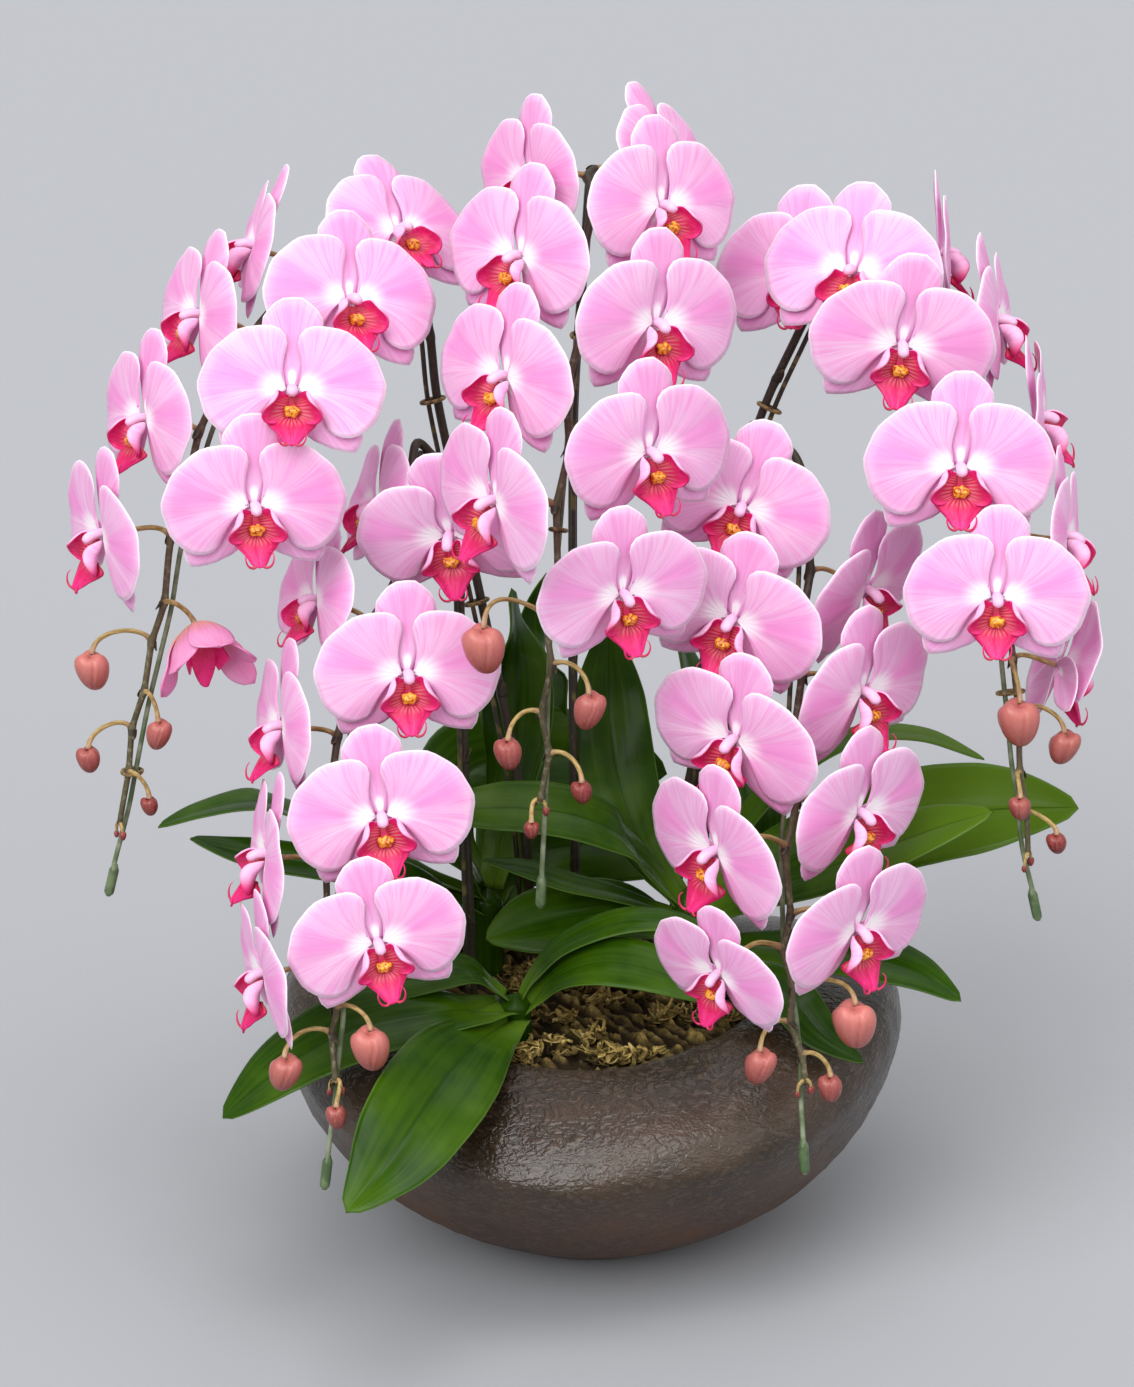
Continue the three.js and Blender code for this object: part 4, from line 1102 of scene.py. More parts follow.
def stalk(piece, node, out):
    """A cubic curve from the stem's node to the bloom, thicker at both ends."""
    to, into = piece["to"], piece["into"]
    reach = np.linalg.norm(to - node) * 0.42
    t = np.linspace(0, 1, STALK_ROWS)[:, None]
    a, b, c, d = node, node + out * reach, to + into * reach, to
    line = a * (1 - t) ** 3 + 3 * b * t * (1 - t) ** 2 + 3 * c * t**2 * (1 - t) + d * t**3
    thin = 1.35 if piece.get("bud") else 1.5
    radius = thin + 0.9 * np.exp(-((t[:, 0] / 0.1) ** 2)) + 0.35 * smoothstep(t[:, 0], 0.75, 1)
    turned = np.cross(out, into)
    reference = turned if np.linalg.norm(turned) > 0.05 else np.array([0.3, 0.2, 1.0])
    return tube(line, radius, unit(reference), look=1)


BUD_OUTLINE = [
    (0, -1), (0.16, -0.985), (0.36, -0.92), (0.62, -0.70), (0.84, -0.36), (0.96, 0.0),
    (1.0, 0.32), (0.95, 0.60), (0.80, 0.82), (0.56, 0.93), (0.28, 0.90), (0, 0.82),
]


def bud(at, length, radius, seed, rows=27, columns=61):
    """An egg of three shut sepals, widest above its middle, with a lapped seam between them.

    wide(z, a) = outline(z) (1 + lobes cos 3a near the stalk - groove(a) + lap(a)). The shoulders
    rise into lobes round the stalk, and the lower end leans to one side.
    """
    outline = smooth_line(BUD_OUTLINE, rows)
    wide, z = outline[:, :1], outline[:, 1:]
    draw = np.random.default_rng(seed)
    angles = full_turn(columns)
    seam = -np.pi / 2 + draw.uniform(-0.45, 0.45)
    lobes = -np.cos(3 * (angles - seam))
    seams = 0
    for i in range(3):
        away = np.angle(np.exp(1j * (angles - seam - i * 2 * np.pi / 3 - 0.25 * z)))
        groove = np.exp(-((away / 0.06) ** 2)) * 0.13
        lap = np.exp(-(((away - 0.17) / 0.10) ** 2)) * 0.06
        seams = seams - groove + lap
    ends = smoothstep(1 - np.abs(z), 0.0, 0.35)
    wide = radius * wide * (1 + 0.06 * lobes * smoothstep(z, -0.3, 0.9) + seams * ends)
    lean = draw.uniform(-0.2, 0.2, 2) * np.array([1, 0.5])
    height = z * length / 2 * (1 + 0.10 * lobes * smoothstep(z, 0.4, 0.95))
    x, y = wide * np.cos(angles) + lean[0] * height, wide * np.sin(angles) + lean[1] * height
    points = np.stack([x, y, height], axis=-1)
    points[[0, -1]] = points[[0, -1], :1]
    return shell((points + np.array(at)) / MM, 2, (seed, 0))


# to the side, down, radius, in mm
LAST_BUDS = [(-3.6, 4.5, 2.1), (4.4, 7.0, 1.6)]
TWIG_ROWS = 9
OPENING_GRID = (19, 15)
OPENING_LIP_GRID = (16, 13)
OPENING_THICKNESS = 0.001
LIP_THICKNESS = 0.0012
BELL = [(0, 1), (5, 10), (16, 18), (27, 22), (36, 27)]
OPENING_PETALS = [
    # bearing, half spread, reach outward, length
    (90, 44, 1.04, 0.92), (205, 34, 1.10, 1.02), (335, 34, 1.10, 1.02),
    (150, 46, 0.98, 1.0), (30, 46, 0.98, 1.0),
]


def half_open(at, turn, tip):
    """A nodding bell of five pointed petals round the first crimson of the lip.

    Each petal lies on the bell's wall: its bearing spreads by its width, and its radius follows
    the bell's profile, which flares at the mouth. The lip hangs out between the lower two.
    """
    rotation = bloom_turn(turn, tip)

    def placed(points, thickness, look, shift=0):
        """A blade of x, y and z grids in mm, turned with the bloom and moved to its place."""
        sheet = (np.stack(points, axis=-1) @ rotation.T + at) / MM
        return blade(sheet, thickness, look, look, (shift, 0))

    s, v = steps(OPENING_GRID, -1)
    depth, bell = smooth_line(BELL, len(s)).T[..., None]
    narrow = np.sin(np.pi * np.clip(s * 0.62 + 0.38 * s**3, 0, 1)) ** 0.6 * (1 - 0.35 * s)
    narrow = np.maximum(narrow, 0.35 * (1 - s) ** 2)
    patches = []
    for i, (bearing, spread, out, long) in enumerate(OPENING_PETALS):
        angle = np.radians(bearing + spread * v * narrow * 1.1)
        radius = bell * out * (1 + 0.07 * v**2 * s)
        back = -(depth * long + 0 * angle)
        points = [radius * np.cos(angle), back, radius * np.sin(angle)]
        patches += placed(points, OPENING_THICKNESS, 3, i)
    t, a = steps(OPENING_LIP_GRID, -1)
    wide = 8.5 * np.sin(np.pi * (0.14 + 0.80 * t)) ** 0.7
    lip = [a * wide, -7 - t * 27 + 3 * a**2, 2 - 17 * t**1.4 + 6 * a**2 * (1 - t)]
    patches += placed(lip, LIP_THICKNESS, 4)
    for side in (-1, 1):
        wing = [side * (4 + 7 * t + 2 * a), -9 - t * 18 + 0 * a, 1 - 5 * t + 6 * a]
        patches += placed(wing, LIP_THICKNESS, 4)
    return patches


def last_buds(spike, curve, knots, sides, stop):
    """Two tiny buds on short twigs, which fork from the very end of the stem."""
    part = np.array([stop])
    end = stem_line(spike, curve, knots, sides, part)[0]
    _, inward, across = arch(curve, spike["inside"], part)
    patches = []
    for side, drop, radius in LAST_BUDS:
        tip = end + across[0] * side - [0, 0, drop]
        bend = end + across[0] * side * 0.8 - [0, 0, drop * 0.3]
        twig = smooth_line([end + [0, 0, 1.5], bend, tip], TWIG_ROWS)
        thick = np.linspace(1.4, 0.8, TWIG_ROWS)
        patches += tube(twig, thick, unit(inward[0] + [0, 0, 0.2]), sides=8, look=1)
        patches += bud(tip - [0, 0, radius * 0.9], radius * 2.6, radius, 4, rows=11, columns=25)
    return patches


def stem_look():
    """Woody stem: nearly black brown, and olive grey-brown with purplish streaks where it hangs."""
    look = new_look("woody_stem", Specular_IOR_Level=0.4)
    place = coordinates(look)
    streak, patch = streaks(place, 9.0, 60.0)
    speck = noise(place["Object"], 260.0, 4.0)
    base = ramp(
        patch,
        [(0.35, (0.050, 0.042, 0.016)), (0.5, (0.105, 0.088, 0.040)),
         (0.66, (0.085, 0.050, 0.036))],
    )
    specked = mixed(band(speck, 0.5, 0.7), base, (0.19, 0.17, 0.10))
    old = band(maths("MULTIPLY_ADD", patch, 0.3, axes(place["UV"])[1]), 0.95, 0.70)
    colour = mixed(old, specked, (0.028, 0.021, 0.012), 0.85)
    return dress(look, colour, maths("MULTIPLY_ADD", streak, 0.2, 0.4), (speck, 0.5, 0.0009))


def stalk_look():
    """Fleshy tan-olive stalk, browner at the stem and pinker at the bloom."""
    look = new_look("tan_stalk", Specular_IOR_Level=0.4)
    place = coordinates(look)
    streak, patch = streaks(place, 6.0, 8.0)
    along = axes(place["UV"])[1]
    base = mixed(band(streak, 0.35, 0.65), (0.30, 0.19, 0.055), (0.52, 0.38, 0.14))
    warm = mixed(band(along, 0.25, 0.0), base, (0.24, 0.12, 0.07))
    pink = mixed(band(along, 0.7, 1.0), warm, (0.62, 0.34, 0.30), 0.5)
    return dress(look, pink, maths("MULTIPLY_ADD", patch, 0.2, 0.38), (streak, 0.2, 0.0004))


def bud_look():
    """Shut bud: salmon brown, redder towards its tip, waxy; the lower a bud, the darker it is."""
    look = new_look("waxy_bud", Specular_IOR_Level=0.5)
    place = coordinates(look)
    streak, patch = streaks(place, 26.0, 1.6)
    u, v, _ = axes(place["UV"])
    number = maths("FLOOR", maths("SUBTRACT", u, 0.002))
    age = maths("MULTIPLY", number, 0.34, use_clamp=True)
    speck = noise(place["Object"], 700.0)
    upper = band(v, 0.0, 0.8)
    first = mixed(upper, (0.28, 0.047, 0.038), (0.58, 0.17, 0.143))
    last = mixed(upper, (0.10, 0.008, 0.008), (0.24, 0.030, 0.025))
    lined = mixed(band(streak, 0.42, 0.66), mixed(age, first, last), (0.66, 0.27, 0.22), 0.12)
    colour = mixed(band(speck, 0.56, 0.66), lined, (0.74, 0.38, 0.32), 0.12)
    return dress(look, colour, maths("MULTIPLY_ADD", patch, 0.10, 0.33), (speck, 0.12, 0.0003))


def opening_look():
    """The opening bloom: peach towards its stalk, then pink with fine veins, paler in patches."""
    look = new_look("opening_petal", Specular_IOR_Level=0.35, Roughness=0.5)
    place = coordinates(look)
    streak, patch = streaks(place, 34.0, 1.5)
    pink = mixed(band(patch, 0.3, 0.7), (0.84, 0.26, 0.52), (0.90, 0.42, 0.68))
    base = mixed(band(axes(place["UV"])[1], 0.62, 0.25), pink, (0.86, 0.36, 0.28))
    colour = mixed(band(streak, 0.45, 0.65), base, (0.74, 0.12, 0.34), 0.4)
    return dress(look, colour, relief=(streak, 0.2, 0.0005))


def lip_look():
    """The lip: crimson, pinker towards its tip, mottled, with pale tan bars in its throat."""
    look = new_look("crimson_lip", Specular_IOR_Level=0.35, Roughness=0.45)
    place = coordinates(look)
    streak, patch = streaks(place, 22.0, 2.5)
    u, v, _ = axes(place["UV"])
    fine = noise(place["Object"], 300.0)
    base = mixed(band(v, 0.1, 0.95), (0.58, 0.003, 0.070), (0.84, 0.022, 0.21))
    lined = mixed(band(streak, 0.5, 0.68), base, (0.90, 0.16, 0.42), 0.18)
    mottled = mixed(band(fine, 0.5, 0.7), lined, (0.50, 0.0, 0.03), 0.35)
    turned = maths("MULTIPLY_ADD", maths("FRACT", u), 70.0, times(patch, 9.0))
    shown = times(band(maths("SINE", turned), -0.1, 0.5), band(v, 0.42, 0.18))
    barred = mixed(shown, mottled, (0.58, 0.33, 0.27), 0.38)
    return dress(look, barred, relief=(streak, 0.25, 0.0006))


LIP_LOOK = lip_look()
STEM_LOOKS = [stem_look(), stalk_look(), bud_look(), opening_look(), LIP_LOOK]
for spike_name, spike in SPIKES.items():
    curve, hung, knots, sides, stop = hang(spike)
    patches = stem(spike, curve, knots, sides, stop) + last_buds(spike, curve, knots, sides, stop)
    points, _, across = arch(curve, spike["inside"], knots)
    for piece in hung:
        knot = piece["knot"]
        node = points[knot] + across[knot] * sides[knot] * ZIGZAG
        patches += stalk(piece, node, unit(across[knot] * piece["side"] + [0, 0, 0.5]))
    for i, (at, length, radius) in enumerate(spike["buds"]):
        patches += bud(at, length, radius, i)
    for at, turn, tip in spike.get("half_open", []):
        patches += half_open(at, turn, tip)
    add_piece(f"stem_{spike_name}", patches, STEM_LOOKS, f"stem_{spike_name}_spike")

# The stakes: green plastic-coated wires that follow the stems on the inside of each arch. Each
# ends in a soft rounded cap, which is pushed over the wire's end, and small brown clips hold
# the stem to it. CLIPS has their places in parts of the stem's length.
STAKE_RADIUS = 1.5
WIRE_STAND_OFF = 6.4
CAP_RADIUS = 3.0
CAP_LENGTH = 20
CLIP_RADIUS = 1.3
CLIP_REACH = 4.2
WIRE_ROWS, CAP_ROWS, CLIP_ROWS = 200, 24, 37
CLIPS = {
    "far_left": [0.275, 0.41, 0.915],
    "left": [0.30],
    "middle": [0.42, 0.775],
    "right": [0.36],
    "far_right": [0.40, 0.414, 0.845],
}


def stake(spike):
    """The wire stands WIRE_STAND_OFF inside the arch and closes on the stem's line at its end.

    The cap is a tube along the last of it, rounded off at its end and narrower at its neck.
    """
    curve = trace(spike["path"])
    part = np.linspace(0, 1, WIRE_ROWS)
    point, inward, across = arch(curve, spike["inside"], part)
    line = point + inward * (WIRE_STAND_OFF * (1 - smoothstep(part, 0.93, 1)))[:, None]
    back = unit(line[-11] - line[-1])
    t = np.linspace(0, 1, CAP_ROWS)
    cap = line[-1] + back * CAP_LENGTH * t[:, None]
    round_off = np.sqrt(np.clip(1 - (1 - np.clip(t / 0.16, 0, 1)) ** 2, 0.02, 1))
    neck = 1 - 0.45 * smoothstep(t, 0.8, 1)
    wire = tube(line, STAKE_RADIUS, across[0])
    return wire + tube(cap, CAP_RADIUS * round_off * neck, unit(across[-1]), sides=16, look=1)


def clip(spike, part):
    """A clip: a thick oval loop round the stem and the wire, square to the stem."""
    curve, _, knots, sides, _ = hang(spike)
    at = np.array([part])
    point, inward, _ = arch(curve, spike["inside"], at)
    held = stem_line(spike, curve, knots, sides, at)[0]
    wire = point[0] + inward[0] * WIRE_STAND_OFF
    apart, along = wire - held, heading_at(curve, at)[0]
    reach = np.linalg.norm(apart) / 2 + CLIP_REACH
    turn = np.linspace(0, 2 * np.pi, CLIP_ROWS)[:, None]
    loop = (held + wire) / 2 + unit(apart) * reach * np.cos(turn)
    loop += unit(np.cross(along, apart)) * CLIP_REACH * np.sin(turn)
    return tube(loop, CLIP_RADIUS, along, sides=8, look=2)


def stake_look():
    """Dull coating with small scuffs: dark above, with olive stretches, grey-green at its end."""
    look = new_look("green_coating", Specular_IOR_Level=0.45)
    place = coordinates(look)
    wear = noise(place["Object"], 90.0, 5.0)
    low = mixed(band(wear, 0.4, 0.7), (0.10, 0.14, 0.060), (0.26, 0.30, 0.19))
    high = mixed(band(wear, 0.52, 0.66), (0.030, 0.026, 0.013), (0.14, 0.115, 0.030))
    colour = mixed(band(axes(place["UV"])[1], 0.60, 0.86), high, low)
    return dress(look, colour, maths("MULTIPLY_ADD", wear, 0.3, 0.3), (wear, 0.15, 0.0005))


def cap_look():
    """The cap: smooth darker green rubber with a dusty bloom."""
    look = new_look("green_cap", Specular_IOR_Level=0.5)
    dust = noise(coordinates(look)["Object"], 140.0, 3.0)
    colour = mixed(band(dust, 0.4, 0.7), (0.055, 0.100, 0.035), (0.14, 0.19, 0.09))
    return dress(look, colour, maths("MULTIPLY_ADD", dust, 0.2, 0.3))


def clip_look():
    """Yellowish brown plastic with darker dirt in patches."""
    look = new_look("tan_clip", Specular_IOR_Level=0.4, Roughness=0.5)
    dirt = noise(coordinates(look)["Object"], 260.0, 3.0)
    return dress(look, mixed(band(dirt, 0.38, 0.62), (0.075, 0.045, 0.018), (0.30, 0.20, 0.065)))


STAKE_LOOKS = [stake_look(), cap_look(), clip_look()]
for spike_name, spike in SPIKES.items():
    patches = stake(spike)
    for part in CLIPS[spike_name]:
        patches += clip(spike, part)
    add_piece(f"stake_{spike_name}", patches, STAKE_LOOKS, f"stake_{spike_name}_spike")

# The open blooms: two broad petals that meet over a gap, three sepals behind them, and a three
# lobed lip under a small column. All outlines are in parts of the bloom's width, right half.
PETAL = [
    (0.03, 0.0), (0.088, -0.015), (0.132, -0.058), (0.161, -0.101), (0.175, -0.145),
    (0.197, -0.196), (0.248, -0.232), (0.32, -0.236), (0.386, -0.21), (0.448, -0.14),
    (0.484, -0.06), (0.499, 0.03), (0.47, 0.145), (0.404, 0.24), (0.33, 0.304), (0.25, 0.341),
    (0.158, 0.353), (0.078, 0.341), (0.042, 0.311), (0.028, 0.254), (0.044, 0.188),
    (0.05, 0.123), (0.035, 0.035),
]
PETAL_FORWARD = [
    0.0, 0.0, 0.002, 0.006, 0.01, 0.012, 0.008, 0.0, -0.004, -0.006, -0.006, -0.008, -0.01,
    -0.006, 0.002, 0.010, 0.018, 0.025, 0.028, 0.028, 0.022, 0.012, 0.002,
]
DORSAL = [
    (0.03, 0.02), (0.10, 0.15), (0.152, 0.28), (0.164, 0.36), (0.148, 0.42), (0.11, 0.465),
    (0.06, 0.50), (0.0, 0.513), (-0.06, 0.50), (-0.11, 0.465), (-0.148, 0.42), (-0.164, 0.36),
    (-0.152, 0.28), (-0.10, 0.15), (-0.03, 0.02),
]
LATERAL = [
    (0.0, -0.02), (0.03, -0.10), (0.06, -0.19), (0.103, -0.239), (0.175, -0.275),
    (0.248, -0.30), (0.33, -0.31), (0.362, -0.298), (0.378, -0.262), (0.38, -0.20),
    (0.36, -0.13), (0.28, -0.03), (0.15, 0.03), (0.03, 0.02),
]
SIDE_LOBE_RIM = [
    (0.02, 0.01, -0.02), (0.06, 0.035, 0.004), (0.078, 0.08, 0.004), (0.076, 0.125, -0.018),
    (0.092, 0.152, -0.055), (0.124, 0.156, -0.084), (0.148, 0.144, -0.110), (0.154, 0.122, -0.144),
    (0.134, 0.10, -0.172), (0.09, 0.085, -0.176), (0.05, 0.07, -0.16),
]
SIDE_LOBE_BELLY = [
    (0.018, 0.012, -0.022), (0.058, 0.028, -0.026), (0.088, 0.055, -0.036), (0.102, 0.08, -0.052),
    (0.112, 0.094, -0.08), (0.124, 0.096, -0.104), (0.132, 0.096, -0.126), (0.13, 0.09, -0.148),
    (0.108, 0.082, -0.16), (0.07, 0.075, -0.162), (0.04, 0.065, -0.158),
]
SIDE_LOBE_FOOT = [(0.012, 0.01, -0.025), (0.02, 0.045, -0.09), (0.035, 0.068, -0.155)]
MID_LOBE = [
    (0, 0.065, -0.145), (0, 0.096, -0.18), (0, 0.124, -0.22), (0, 0.148, -0.258),
    (0, 0.163, -0.288), (0, 0.166, -0.297),
]
MID_LOBE_HALF = [
    (0, 0.05), (0.12, 0.092), (0.27, 0.128), (0.38, 0.132), (0.5, 0.112), (0.66, 0.076),
    (0.82, 0.056), (0.93, 0.04), (1, 0.016),
]
TENDRIL = [
    (0.014, 0.155, -0.282), (0.032, 0.164, -0.296), (0.058, 0.17, -0.288), (0.074, 0.172, -0.258),
    (0.074, 0.166, -0.226), (0.060, 0.158, -0.206),
]
COLUMN = [
    (0, -0.03, 0.01), (0, 0.02, 0.020), (0, 0.05, 0.015), (0, 0.076, 0.003), (0, 0.092, -0.014),
    (0, 0.096, -0.028),
]
COLUMN_RADIUS = [(0, 0.024), (0.3, 0.026), (0.6, 0.029), (0.85, 0.030), (0.95, 0.024), (1, 0.009)]
PETAL_THICKNESS = 0.0011
MID_LOBE_THICKNESS = 0.0013
PETAL_GRID, SEPAL_GRID = (16, 38), (11, 25)
SIDE_LOBE_GRID, LIP_FLOOR_GRID, MID_LOBE_GRID = (9, 21), (9, 7), (18, 17)
TENDRIL_ROWS, COLUMN_ROWS, CALLUS_GRID = 13, 15, (12, 26)


def quadratic(foot, knee, rim, rows):
    """Rays from foot to rim: point(s, t) = (1-s)^2 foot + 2 s (1-s) knee(t) + s^2 rim(t)."""
    s = np.linspace(0, 1, rows)[:, None, None]
    return (1 - s) ** 2 * foot + 2 * s * (1 - s) * knee + s**2 * rim


def fan(outline, base, heading, grid, pull=0.45):
    """Rays from a point of the base out to the outline, which set off nearer to the heading.

    The knee of a ray lies pull of the way out, in a direction between its own and the heading.
    """
    rows, columns = grid
    rim = smooth_line(outline, columns)
    root = np.array(base, float)
    turn = np.linspace(0, 2 * np.pi, columns)[:, None]
    out = (rim - root) * (1 + 0.008 * np.sin(turn * 9 + 1) * np.sin(turn / 2))
    length = np.linalg.norm(out, axis=1, keepdims=True)
    knee = root + pull * length * unit(unit(out) + np.array(heading, float) * 0.75)
    return quadratic(root, knee, root + out, rows)


def raise_sheet(flat, forward):
    """Joins flat (right, up) points and how far they come forward to (right, back, up)."""
    return np.stack([flat[..., 0], -forward, flat[..., 1]], axis=-1)


def mirror(patches):
    """The left twin: x is turned round, and the columns with it, so that faces still point out."""
    return [
        (points[:, ::-1] * [-1, 1, 1], uv[:, ::-1] + [4, 0], look) for points, uv, look in patches
    ]


def petal_thickness(s, t, width):
    """The thickness over a petal or sepal, in parts of its width: thinner towards the rim."""
    return (PETAL_THICKNESS / width) * (1 - 0.6 * s**8) * np.ones_like(t)


def petal(draw, width):
    """One broad petal: the fan, domed in its middle, with a waved rim.

    forward(s, t) = rim forward(t) s^2 + dome 4 s (1-s) sin(pi t) + ripple(t) s^5
    """
    flat = fan(PETAL, (0.03, 0.016), (0.97, 0.24), PETAL_GRID)
    s, t = steps(PETAL_GRID)
    rim = smooth_line([(i, f * 40) for i, f in enumerate(PETAL_FORWARD)], t.size)[:, 1] / 40
    phase = draw.uniform(0, 2 * np.pi, 4)
    waved = ((21, phase[0], 0.006), (34, phase[1], 0.0035), (9, phase[2], 0.008))
    ripple = sum(np.sin(t * often + start) * high for often, start, high in waved)
    dome = 0.034 * 4 * s * (1 - s) * np.sin(np.pi * t) ** 0.8
    hinge = draw.uniform(-0.03, 0.03) * np.maximum(flat[..., 0] - 0.06, 0)
    pleat = 0.0012 * np.sin(t * 60 + phase[3]) * np.sin(np.pi * s)
    forward = rim * s**2 + dome + ripple * s**5 * np.sin(np.pi * t) + hinge + pleat + 0.004
    return blade(raise_sheet(flat, forward), petal_thickness(s, t, width), 0, 0)


def sepal(outline, base, heading, draw, width, tuck, lean):
    """One sepal behind the petals: a keeled fan, tucked back, that leans back towards its tip."""
    flat = fan(outline, base, heading, SEPAL_GRID, pull=0.5)
    s, t = steps(SEPAL_GRID)
    phase = draw.uniform(0, 2 * np.pi)
    ripple = np.sin(t * 17 + phase) * 0.004 * s**4 * np.sin(np.pi * t)
    cup = 0.022 * np.sin(np.pi * t) * 4 * s * (1 - s)
    forward = -tuck - lean * s**2 + cup * 0.6 + ripple
    return blade(raise_sheet(flat, forward), petal_thickness(s, t, width), 1, 1)


def right_back_up(points):
    """(right, forward, up) rows as (right, back, up)."""
    return np.asarray(points, float) * [1, -1, 1]


def side_lobe(width):
    """An upright side lobe: each ray leaves its foot, passes the belly and ends at the rim."""
    rows, columns = SIDE_LOBE_GRID
    tables = (SIDE_LOBE_RIM, SIDE_LOBE_BELLY, SIDE_LOBE_FOOT)
    rim, belly, foot = (right_back_up(smooth_line(table, columns)) for table in tables)
    points = quadratic(foot, 2 * belly - (foot + rim) / 2, rim, rows)
    return blade(points, PETAL_THICKNESS / width, 2, 3)


def lip_floor(width):
    """The throat between the side lobes' feet, a shallow gutter."""
    rows, columns = LIP_FLOOR_GRID
    t, v = np.linspace(0, 1, rows), np.linspace(-1, 1, columns)
    right = right_back_up(smooth_line(SIDE_LOBE_FOOT, rows))
    points = right[:, None] * np.stack([v, np.ones(columns), np.ones(columns)], axis=-1)
    points[..., 2] -= 0.006 * (1 - v**2) * np.sin(np.pi * t)[:, None]
    return blade(points, LIP_THICKNESS / width, 3, 2)


def mid_lobe(draw, width):
    """The arrow-shaped middle lobe: shoulders swept back from a groove, and a drawn-out tip."""
    rows, columns = MID_LOBE_GRID
    s, v = np.linspace(0, 1, rows), np.linspace(-1, 1, columns)
    line = right_back_up(smooth_line(MID_LOBE, rows))
    table = np.array(MID_LOBE_HALF).T
    half = (np.interp(s, *table) + np.interp(s - 0.06, *table))[:, None] / 2
    points = np.zeros((rows, columns, 3)) + line[:, None]
    points[..., 0] += half * v
    swept = 0.50 * v**2 + 0.10 * np.exp(-((v / 0.10) ** 2))
    points[..., 1] += half * swept
    points[..., 2] += half * 0.22 * np.abs(v) ** 1.5
    frill = np.sin(v * 11 + draw.uniform(0, 6)) * smoothstep(np.abs(v), 0.2, 1)
    points[..., 1] += 0.007 * (frill * np.sin(np.pi * s)[:, None])
    return blade(points, MID_LOBE_THICKNESS / width, 3, 3)


def tendril():
    """A curled thread on each side of the lip's tip."""
    line = right_back_up(smooth_line(TENDRIL, TENDRIL_ROWS))
    radius = np.linspace(0.009, 0.002, TENDRIL_ROWS)
    return tube_in_parts(line, radius, (0.1, 1, 0.2), 6, 3)


def tube_in_parts(line, radius, reference, sides, look):
    """A tube that is given in parts of the width, so its mm are put back."""
    made = tube(line, radius, reference, sides, look)
    return [(points * MM, uv, kind) for points, uv, kind in made]


def column():
    """The column: a short neck with a rounded hood that nods over the lip."""
    line = right_back_up(smooth_line(COLUMN, COLUMN_ROWS))
    radius = np.interp(np.linspace(0, 1, COLUMN_ROWS), *zip(*COLUMN_RADIUS))
    return tube_in_parts(line, radius, (1, 0, 0), 13, 4)


def callus():
    """The two-humped callus in the throat: a bumpy half ball."""
    rows, columns = CALLUS_GRID
    a, b = full_turn(columns), np.linspace(0, np.pi, rows)[:, None]
    bumps = 1 + 0.20 * np.cos(2 * a) * np.sin(b) + 0.12 * np.sin(5 * a + 1) * np.sin(b) ** 2
    x = 0.036 * bumps * np.sin(b) * np.cos(a)
    z = 0.040 * bumps * np.sin(b) * np.sin(a)
    y = -0.026 * np.cos(b) * (1 + 0.25 * np.cos(2 * a))
    points = np.stack([x, y - 0.078, z - 0.108], axis=-1)
    points[[0, -1]] = points[[0, -1], :1]
    return shell(points, 5)


def bloom(at, turn, tip, roll, width, seed):
    """A whole bloom in its place: parts of the width, times the width, turned and moved."""
    draw = np.random.default_rng(seed)
    size = width / MM
    foot, heading = (0.01, -0.01), (0.72, -0.69)
    patches = petal(draw, size) + mirror(petal(draw, size))
    patches += sepal(DORSAL, (0, 0.02), (0, 1), draw, size, 0.012, 0.006 + draw.uniform(0, 0.012))
    patches += sepal(LATERAL, foot, heading, draw, size, 0.016, 0.018)
    patches += mirror(sepal(LATERAL, foot, heading, draw, size, 0.018, 0.018))
    lobe, thread = side_lobe(size), tendril()
    patches += lobe + mirror(lobe) + lip_floor(size) + mid_lobe(draw, size)
    patches += thread + mirror(thread) + column() + callus()
    rotation = bloom_turn(turn, tip, roll)
    place = np.array(at) / MM
    return [(points * size @ rotation.T + place, uv, look) for points, uv, look in patches]


def petal_look(name, pale, deep, halo, flush):
    """Petal or sepal: pale pink with fine branching veins, a white throat and a thin white rim.

    u is the place round the fan and v the way out from the base, so lines of equal u are veins.
    A deeper flush follows the middle vein on its upper side, and the blade pales below it.
    """
    look = new_look(name, Specular_IOR_Level=0.3, Roughness=0.55)
    place = coordinates(look)
    (coarse, patch), (fine, _) = streaks(place, 42.0, 0.8), streaks(place, 120.0, 1.6)
    u, out, _ = axes(place["UV"])
    wander = maths("MULTIPLY_ADD", patch, 0.10, maths("FRACT", u))
    near = one_minus(band(off_from(wander, 0.555), 0.0, 0.14))
    spread = times(near, band(out, 0.12, 0.55))
    kept = one_minus(times(band(out, 0.75, 1.0), 0.6))
    faint = tuple((a * 3 + b) / 4 for a, b in zip(pale, deep))
    base = mixed(band(patch, 0.35, 0.68), pale, faint)
    flushed = mixed(times(spread, kept), base, deep, flush)
    under = one_minus(band(off_from(wander, 0.40), 0.0, 0.12))
    pale_under = times(under, band(out, 0.85, 0.35))
    washed = mixed(pale_under, flushed, (0.93, 0.74, 0.85), 0.5 * flush)
    veined = mixed(band(coarse, 0.5, 0.60), washed, deep, 0.34)
    shown = times(band(fine, 0.50, 0.60), band(out, 0.12, 0.45))
    detailed = mixed(shown, veined, deep, 0.40)
    lit = mixed(one_minus(band(out, 0.15, halo)), detailed, (0.98, 0.95, 0.97))
    margin = maths(
        "MULTIPLY_ADD", band(out, 0.972, 0.988), 0.55, times(band(out, 0.86, 1.0), 0.25)
    )
    rim = mixed(margin, lit, (0.98, 0.86, 0.95))
    return dress(look, rim, relief=(maths("MULTIPLY_ADD", fine, 0.6, coarse), 0.2, 0.0004))


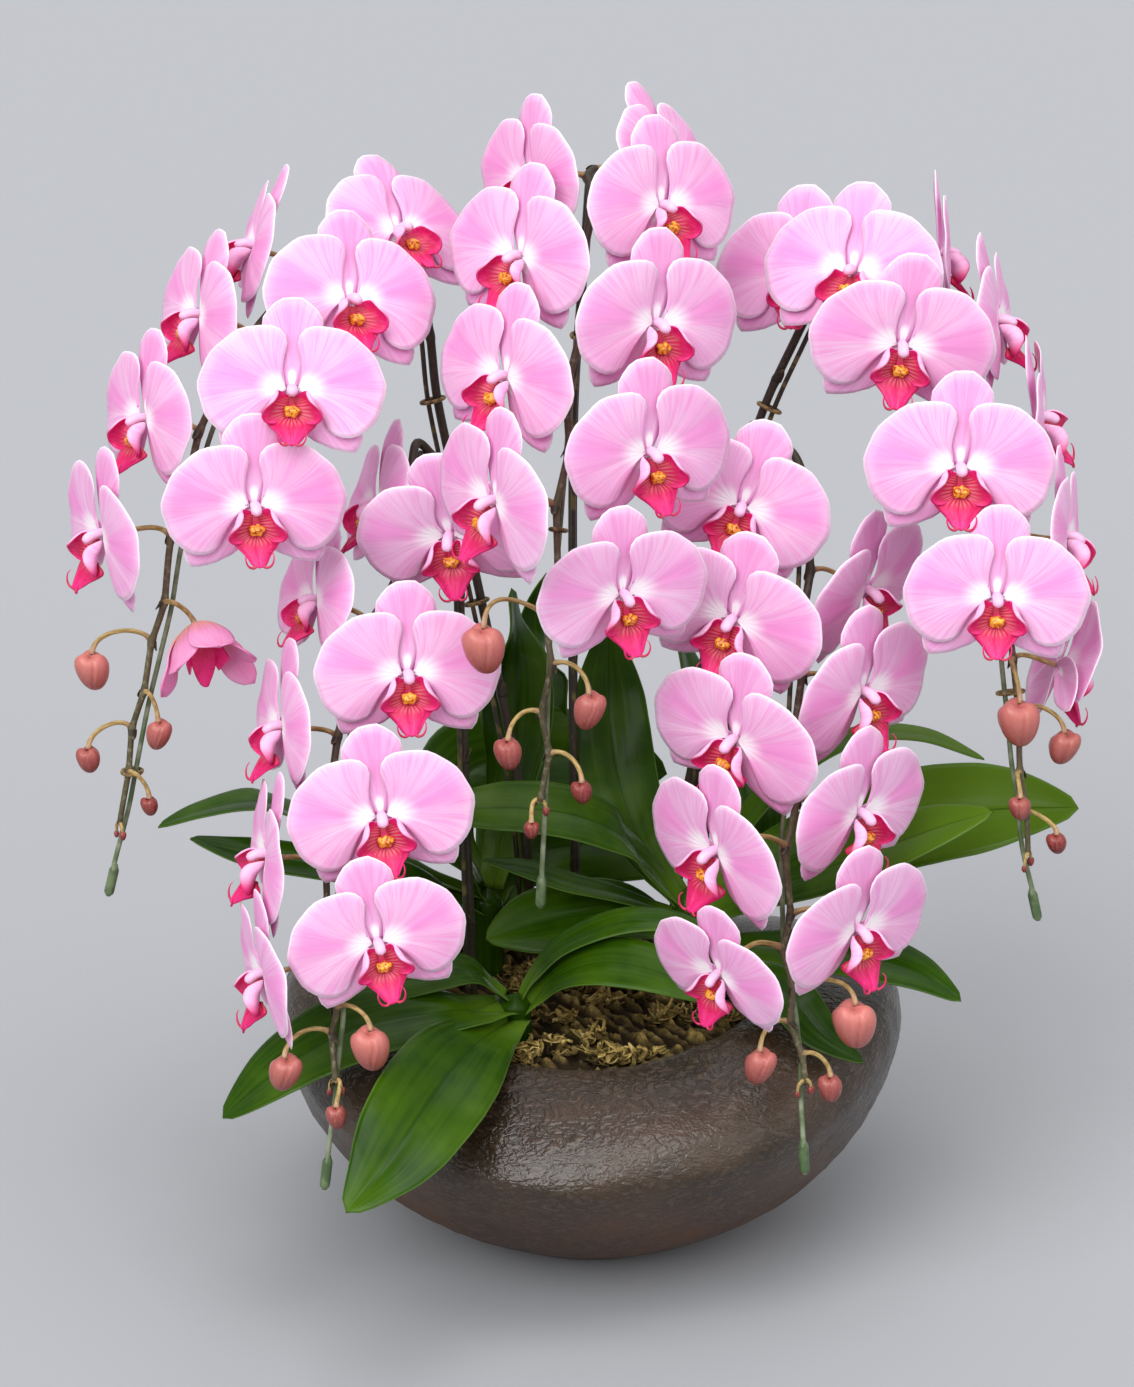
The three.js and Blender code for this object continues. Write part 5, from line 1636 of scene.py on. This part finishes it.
def pouch_look():
    """The outside of a side lobe: pale pink that reddens to crimson at its lower end."""
    look = new_look("pale_pouch", Specular_IOR_Level=0.35, Roughness=0.45)
    place = coordinates(look)
    streak, patch = streaks(place, 18.0, 1.5)
    around = maths("FRACT", axes(place["UV"])[0])
    low = band(maths("MULTIPLY_ADD", patch, 0.2, around), 0.52, 0.82)
    base = mixed(band(streak, 0.45, 0.65), (0.92, 0.50, 0.74), (0.85, 0.30, 0.57), 0.4)
    return dress(look, mixed(low, base, (0.72, 0.02, 0.17)), relief=(streak, 0.15, 0.0005))


def column_look():
    """The column: pale pink, a little paler at its hood."""
    look = new_look("pale_column", Specular_IOR_Level=0.4, Roughness=0.42)
    place = coordinates(look)
    streak, _ = streaks(place, 8.0, 4.0)
    base = mixed(band(axes(place["UV"])[1], 0.3, 1.0), (0.88, 0.50, 0.74), (0.92, 0.52, 0.78))
    return dress(look, mixed(band(streak, 0.4, 0.7), base, (0.95, 0.72, 0.87), 0.35))


def callus_look():
    """The callus: orange with crimson specks, glossy."""
    look = new_look("orange_callus", Specular_IOR_Level=0.5, Roughness=0.35)
    speck = noise(coordinates(look)["Object"], 600.0)
    colour = ramp(
        speck,
        [(0.36, (0.42, 0.03, 0.015)), (0.48, (0.80, 0.25, 0.012)), (0.62, (0.95, 0.52, 0.06))],
    )
    return dress(look, colour, relief=(speck, 0.3, 0.0006))


BLOOM_LOOKS = [
    petal_look("pink_petal", (0.89, 0.52, 0.77), (0.86, 0.26, 0.62), 0.42, 0.75),
    petal_look("pink_sepal", (0.90, 0.50, 0.77), (0.82, 0.24, 0.58), 0.25, 0.45),
    pouch_look(), LIP_LOOK, column_look(), callus_look(),
]
bloom_seed = 0
for spike_name, spike in SPIKES.items():
    for row in ("left", "right"):
        for number, (at, turn, tip, roll, width, *_) in enumerate(spike[row], 1):
            bloom_seed += 1
            name = f"{spike_name}_spike_{row}_{number}"
            patches = bloom(at, turn, tip, roll, width, bloom_seed)
            add_piece(f"flower_{name}", patches, BLOOM_LOOKS, f"bloom_{name}")
